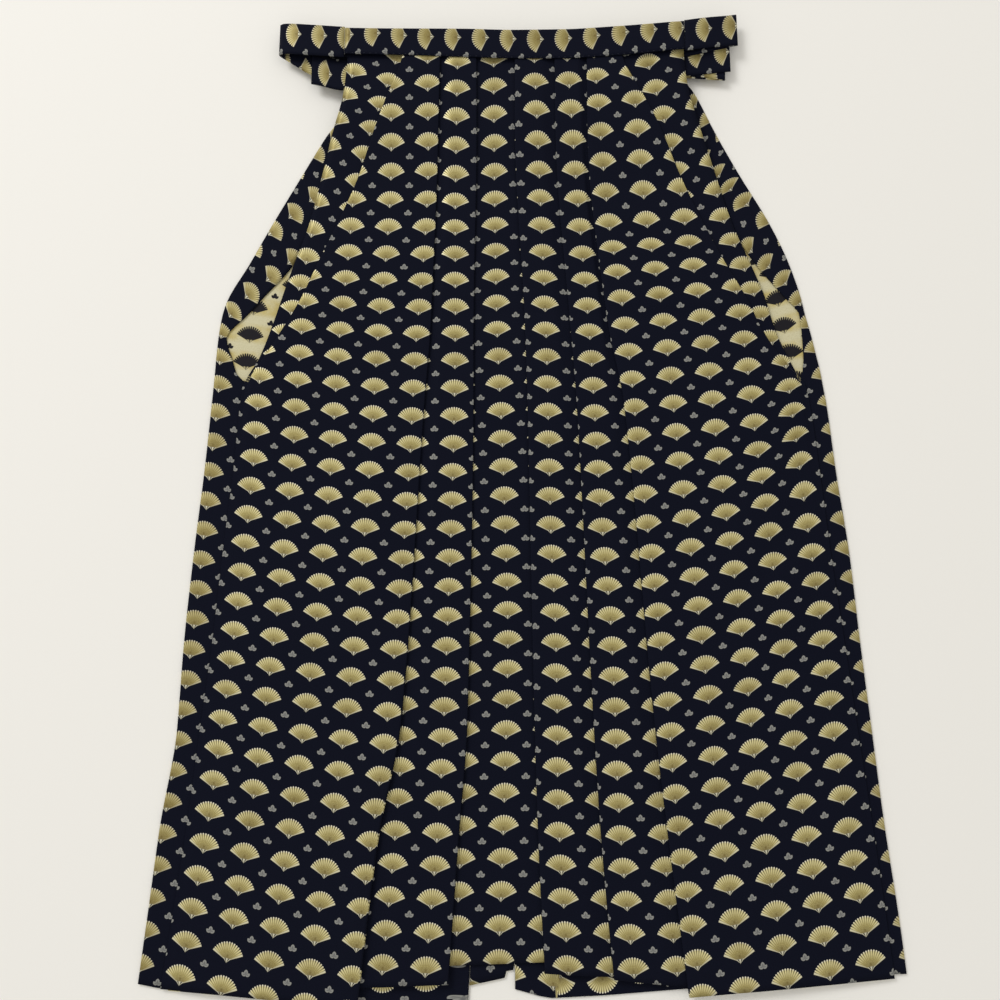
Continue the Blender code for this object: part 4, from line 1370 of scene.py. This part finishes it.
silk_front_right = build_front(
    "silk_front_right", -1, RIGHT_PLEATS, None,
    (
        tugged(grain(RIGHT_OUTER_GRAIN, RIGHT_OUTER_BEND), RIGHT_OUTER_TUGS),
        grain(RIGHT_MIDDLE_GRAIN),
        grain(RIGHT_INNER_GRAIN),
    ),
    grain(RIGHT_STRIP_GRAIN),
    ((0, FRONT_RIGHT_HEM), (UNDER_FIRST, FRONT_RIGHT_INNER_HEM), (UNDER_SECOND, FRONT_CENTRE_HEM)),
)
silk_front_left = build_front(
    "silk_front_left", 1, LEFT_PLEATS, CENTRE,
    (
        tugged(grain(LEFT_OUTER_GRAIN, LEFT_OUTER_BEND), LEFT_OUTER_TUGS),
        grain(LEFT_MIDDLE_GRAIN),
        grain(LEFT_INNER_GRAIN),
    ),
    grain(LEFT_STRIP_GRAIN),
    ((0, FRONT_LEFT_HEM), (UNDER_FIRST, FRONT_LEFT_INNER_HEM), (UNDER_SECOND, FRONT_LEFT_CENTRE_HEM)),
)
silk_back_right = build_back(
    "silk_back_right", -1, BACK_RIGHT_INNER, BACK_RIGHT_HEM,
    grain(RIGHT_WRAP_GRAIN), grain(RIGHT_BACK_GRAIN),
)
silk_back_left = build_back(
    "silk_back_left", 1, BACK_LEFT_INNER, BACK_LEFT_HEM,
    tugged(grain(LEFT_WRAP_GRAIN), LEFT_WRAP_TUGS), grain(LEFT_BACK_GRAIN),
)
silk_back_right_hem = build_turned_hem(
    "silk_back_right_hem", BACK_RIGHT_HEM, -1, BACK_RIGHT_INNER,
    inverted(tugged(grain(RIGHT_HEM_GRAIN), RIGHT_HEM_TUGS)),
)
silk_back_left_hem = build_turned_hem(
    "silk_back_left_hem", BACK_LEFT_HEM, 1, BACK_LEFT_INNER,
    joined(
        grain(LEFT_HEM_START_GRAIN), inverted(tugged(grain(LEFT_HEM_GRAIN), LEFT_HEM_TUGS)), HEM_JOIN_X
    ),
)
silk_right_gusset, silk_left_gusset = build_gussets(inverted(grain(GUSSET_GRAIN)))
silk_front_waistband = build_band(
    "silk_front_waistband", np.linspace(BAND_RIGHT_END, BAND_LEFT_END, FRONT_BAND_COLUMNS),
    lambda x: curve(BAND_TOP, x), lambda x: curve(BAND_WIDTH, x), BAND_UNDER, BAND_OVER, band_cloth,
)
silk_back_waistband = build_band(
    "silk_back_waistband", np.linspace(*BACK_BAND_ENDS, BACK_BAND_COLUMNS),
    lambda x: BACK_BAND_TOP + 0.0 * x, lambda x: BACK_BAND_HEIGHT + 0.0 * x, level(0), level(2), band_cloth,
)
silk_front_tie_right = build_ribbon(
    "silk_front_tie_right", FRONT_TIE_RIGHT, BAND_HEIGHT, TIE_RIGHT_PIECINGS
)
silk_front_tie_left = build_ribbon("silk_front_tie_left", FRONT_TIE_LEFT, BAND_HEIGHT, TIE_LEFT_PIECINGS)
back_ties = []
for side_name, side, sewn, turn, free in BACK_TIES:
    back_ties.append(build_ribbon(
        "silk_back_tie_" + side_name,
        (
            (sewn, BACK_TIE_Y, BACK_TIE_LOW),
            (turn - side * FOLD_EDGE, BACK_TIE_Y, BACK_TIE_LOW),
            ("turn", side, PITCH),
            (free, BACK_TIE_Y, BACK_TIE_LOW + PITCH),
        ),
        BACK_TIE_HEIGHT, (Piecing(0.0, -side, 0.0, BAND_FAN_OFF, 1.0),),
    ))

# Rows of stitches: path, distance from stitch to stitch and length of one, all in mm
STITCH_THREAD = 0.35
STITCH_SIDES = 5
STITCH_INSET = 0.9
Stitching = namedtuple("Stitching", "name path pitch length")
BAND_STITCH_ENDS = (-176.0, 170.0)
BAND_STITCH_POINTS = 60
BAND_STITCH_XS = np.linspace(*BAND_STITCH_ENDS, BAND_STITCH_POINTS)
BAND_STITCH_Y = curve(BAND_TOP, BAND_STITCH_XS) - curve(BAND_WIDTH, BAND_STITCH_XS) + STITCH_INSET
STITCHINGS = (
    Stitching(
        "stitches_front_waistband",
        [(x, y, BAND_OVER + BAND_SILK / 2.0) for x, y in zip(BAND_STITCH_XS, BAND_STITCH_Y)],
        6.0, 1.4,
    ),
    Stitching("tack_right_opening", [(-262.5, 94.0, 6.7), (-258.0, 98.5, 6.7)], 0.6, 1.2),
    Stitching("tack_left_opening", [(268.5, 94.0, 6.7), (264.0, 98.5, 6.7)], 0.6, 1.2),
)


def stitch_tree(thread_material):
    """Geometry Nodes tree that lays short stitches one behind another along a path."""
    tree = bpy.data.node_groups.new("row of stitches", "GeometryNodeTree")
    sockets = (
        ("Path", "INPUT", "NodeSocketGeometry"), ("Pitch", "INPUT", "NodeSocketFloat"),
        ("Length", "INPUT", "NodeSocketFloat"), ("Thread", "INPUT", "NodeSocketFloat"),
        ("Stitches", "OUTPUT", "NodeSocketGeometry"),
    )
    for name, way, kind in sockets:
        tree.interface.new_socket(name=name, in_out=way, socket_type=kind)
    given = tree.nodes.new("NodeGroupInput").outputs
    radius = add(tree, MATH, given["Thread"], 0.5, operation="MULTIPLY")
    line = add(tree, "GeometryNodeMeshToCurve", given["Path"])
    stations = tree.nodes.new("GeometryNodeCurveToPoints")
    stations.mode = "LENGTH"
    tree.links.new(line, stations.inputs["Curve"])
    tree.links.new(given["Pitch"], stations.inputs["Length"])
    stitch = tree.nodes.new("GeometryNodeMeshCylinder")
    stitch.inputs["Vertices"].default_value = STITCH_SIDES
    tree.links.new(radius, stitch.inputs["Radius"])
    tree.links.new(given["Length"], stitch.inputs["Depth"])
    laid = tree.nodes.new("GeometryNodeInstanceOnPoints")
    tree.links.new(stations.outputs["Points"], laid.inputs["Points"])
    tree.links.new(stations.outputs["Rotation"], laid.inputs["Rotation"])
    tree.links.new(stitch.outputs["Mesh"], laid.inputs["Instance"])
    real = add(tree, "GeometryNodeRealizeInstances", laid.outputs["Instances"])
    dressed = tree.nodes.new("GeometryNodeSetMaterial")
    dressed.inputs["Material"].default_value = thread_material
    tree.links.new(real, dressed.inputs["Geometry"])
    out = tree.nodes.new("NodeGroupOutput")
    tree.links.new(dressed.outputs["Geometry"], out.inputs["Stitches"])
    return tree


def build_stitches(row, tree):
    """Stitches of one row as a plain mesh."""
    points = [((x - MIDDLE_X) * MM, (y - MIDDLE_Y) * MM, z * MM) for x, y, z in row.path]
    guide_mesh = bpy.data.meshes.new(row.name + "_path")
    guide_mesh.from_pydata(points, [(i, i + 1) for i in range(len(points) - 1)], [])
    guide = placed(row.name + "_path", guide_mesh)
    modifier = guide.modifiers.new("stitches", "NODES")
    modifier.node_group = tree
    values = {"Pitch": row.pitch * MM, "Length": row.length * MM, "Thread": STITCH_THREAD * MM}
    for socket in tree.interface.items_tree:
        if socket.name in values:
            modifier[socket.identifier] = values[socket.name]
    shown = guide.evaluated_get(bpy.context.evaluated_depsgraph_get())
    mesh = bpy.data.meshes.new_from_object(shown)
    mesh.name = row.name
    bpy.data.objects.remove(guide)
    return placed(row.name, mesh)


# Twisted silk sewing thread in the colour of the ground: a little lighter and smoother than the
# satin, so that a stitch shows only as a faint dash
THREAD_NAVY = "#1a1d30"
THREAD_ROUGHNESS = 0.55
stitching_tree = stitch_tree(plain_material("navy_silk_thread", THREAD_NAVY, THREAD_ROUGHNESS))
for row in STITCHINGS:
    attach(build_stitches(row, stitching_tree), "root")

# Cut of each piece: widest width and length in metres, and its area in square metres
Cut = namedtuple("Cut", "piece width length area held rests_on")
CUTS = (
    Cut(silk_front_right, 0.58, 0.94, 0.41, "folded", "silk_back_right"),
    Cut(silk_front_left, 0.60, 0.94, 0.41, "folded", "silk_back_left"),
    Cut(silk_back_right, 0.35, 0.94, 0.28, "folded", "floor"),
    Cut(silk_back_left, 0.37, 0.93, 0.28, "folded", "floor"),
    Cut(silk_back_right_hem, 0.27, 0.033, None, "laid", "silk_back_right"),
    Cut(silk_back_left_hem, 0.33, 0.033, None, "laid", "silk_back_left"),
    Cut(silk_right_gusset, 0.10, 0.62, 0.045, "laid", "silk_back_left"),
    Cut(silk_left_gusset, 0.044, 0.60, 0.018, "laid", "silk_back_left"),
    Cut(silk_front_waistband, 0.35, 0.074, None, "folded", "silk_front_right"),
    Cut(silk_back_waistband, 0.323, 0.068, None, "folded", "floor"),
    Cut(silk_front_tie_right, 0.0346, 0.87, None, "folded", "silk_back_waistband"),
    Cut(silk_front_tie_left, 0.0346, 0.94, None, "folded", "silk_front_tie_right"),
    Cut(back_ties[0], 0.0326, 0.22, None, "folded", "silk_back_waistband"),
    Cut(back_ties[1], 0.0326, 0.22, None, "folded", "silk_back_waistband"),
)
for cut in CUTS:
    node = cut.piece.name[len("silk_"):]
    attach(cut.piece, "root")
    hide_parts(node)

# ---------------------------------------------------------------- stage


# The camera stands nearly over the hem and looks down, its aim leant towards the waist
LENS = 36.0
SENSOR = 36.0
CAMERA_PLACE = (-0.00515, -0.21345, 0.94)
CAMERA_TILT = 11.0
CAMERA_ROLL = -0.8
# A window up beside the wearer's right shoulder, and an evenly white room
WINDOW_PLACE = (-2.6, 2.6, 3.2)
WINDOW_SIZE = 1.8
WINDOW_POWER = 92.0
ROOM_WHITE = "#FFFDF8"
ROOM_STRENGTH = 0.68
# Matt white paper on the table, so that the garment's shadow shows softly on it
PAPER = "#F4F2ED"
PAPER_ROUGHNESS = 0.9
PAPER_HALF = 3


def look_from(position, tilt, roll):
    """World matrix of a camera over the garment: tilt leans its aim towards the waist."""
    c, s = math.cos(tilt), math.sin(tilt)
    c2, s2 = math.cos(roll), math.sin(roll)
    right = Vector((c2, 0.0, s2))
    up = Vector((-s * s2, c, s * c2))
    back = -Vector((c * s2, s, -c * c2))
    matrix = Matrix((right, up, back)).transposed().to_4x4()
    matrix.translation = position
    return matrix


def add_camera():
    data = bpy.data.cameras.new("camera")
    data.lens = LENS
    data.sensor_width = SENSOR
    camera = placed("camera", data)
    tilt, roll = math.radians(CAMERA_TILT), math.radians(CAMERA_ROLL)
    camera.matrix_world = look_from(Vector(CAMERA_PLACE), tilt, roll)
    bpy.context.scene.camera = camera


def add_window_light():
    data = bpy.data.lights.new("window_light", "AREA")
    data.shape = "SQUARE"
    data.size = WINDOW_SIZE
    data.energy = WINDOW_POWER
    lamp = placed("window_light", data)
    lamp.location = WINDOW_PLACE
    lamp.rotation_euler = (-Vector(WINDOW_PLACE)).to_track_quat("-Z", "Y").to_euler()


def add_floor():
    mesh = bpy.data.meshes.new("floor")
    corners = [(x * PAPER_HALF, y * PAPER_HALF, 0) for x, y in ((-1, -1), (1, -1), (1, 1), (-1, 1))]
    mesh.from_pydata(corners, [], [(0, 1, 2, 3)])
    mesh.materials.append(plain_material("white_table_paper", PAPER, PAPER_ROUGHNESS))
    placed("floor", mesh)


def add_room_light():
    world = bpy.data.worlds.new("room")
    world.use_nodes = True
    sky = world.node_tree.nodes["Background"]
    sky.inputs["Color"].default_value = linear(ROOM_WHITE)
    sky.inputs["Strength"].default_value = ROOM_STRENGTH
    bpy.context.scene.world = world


add_camera()
add_floor()
add_window_light()
add_room_light()
# Plain sRGB view: the near-black ground and the white paper both need their full range
bpy.context.scene.view_settings.view_transform = "Standard"
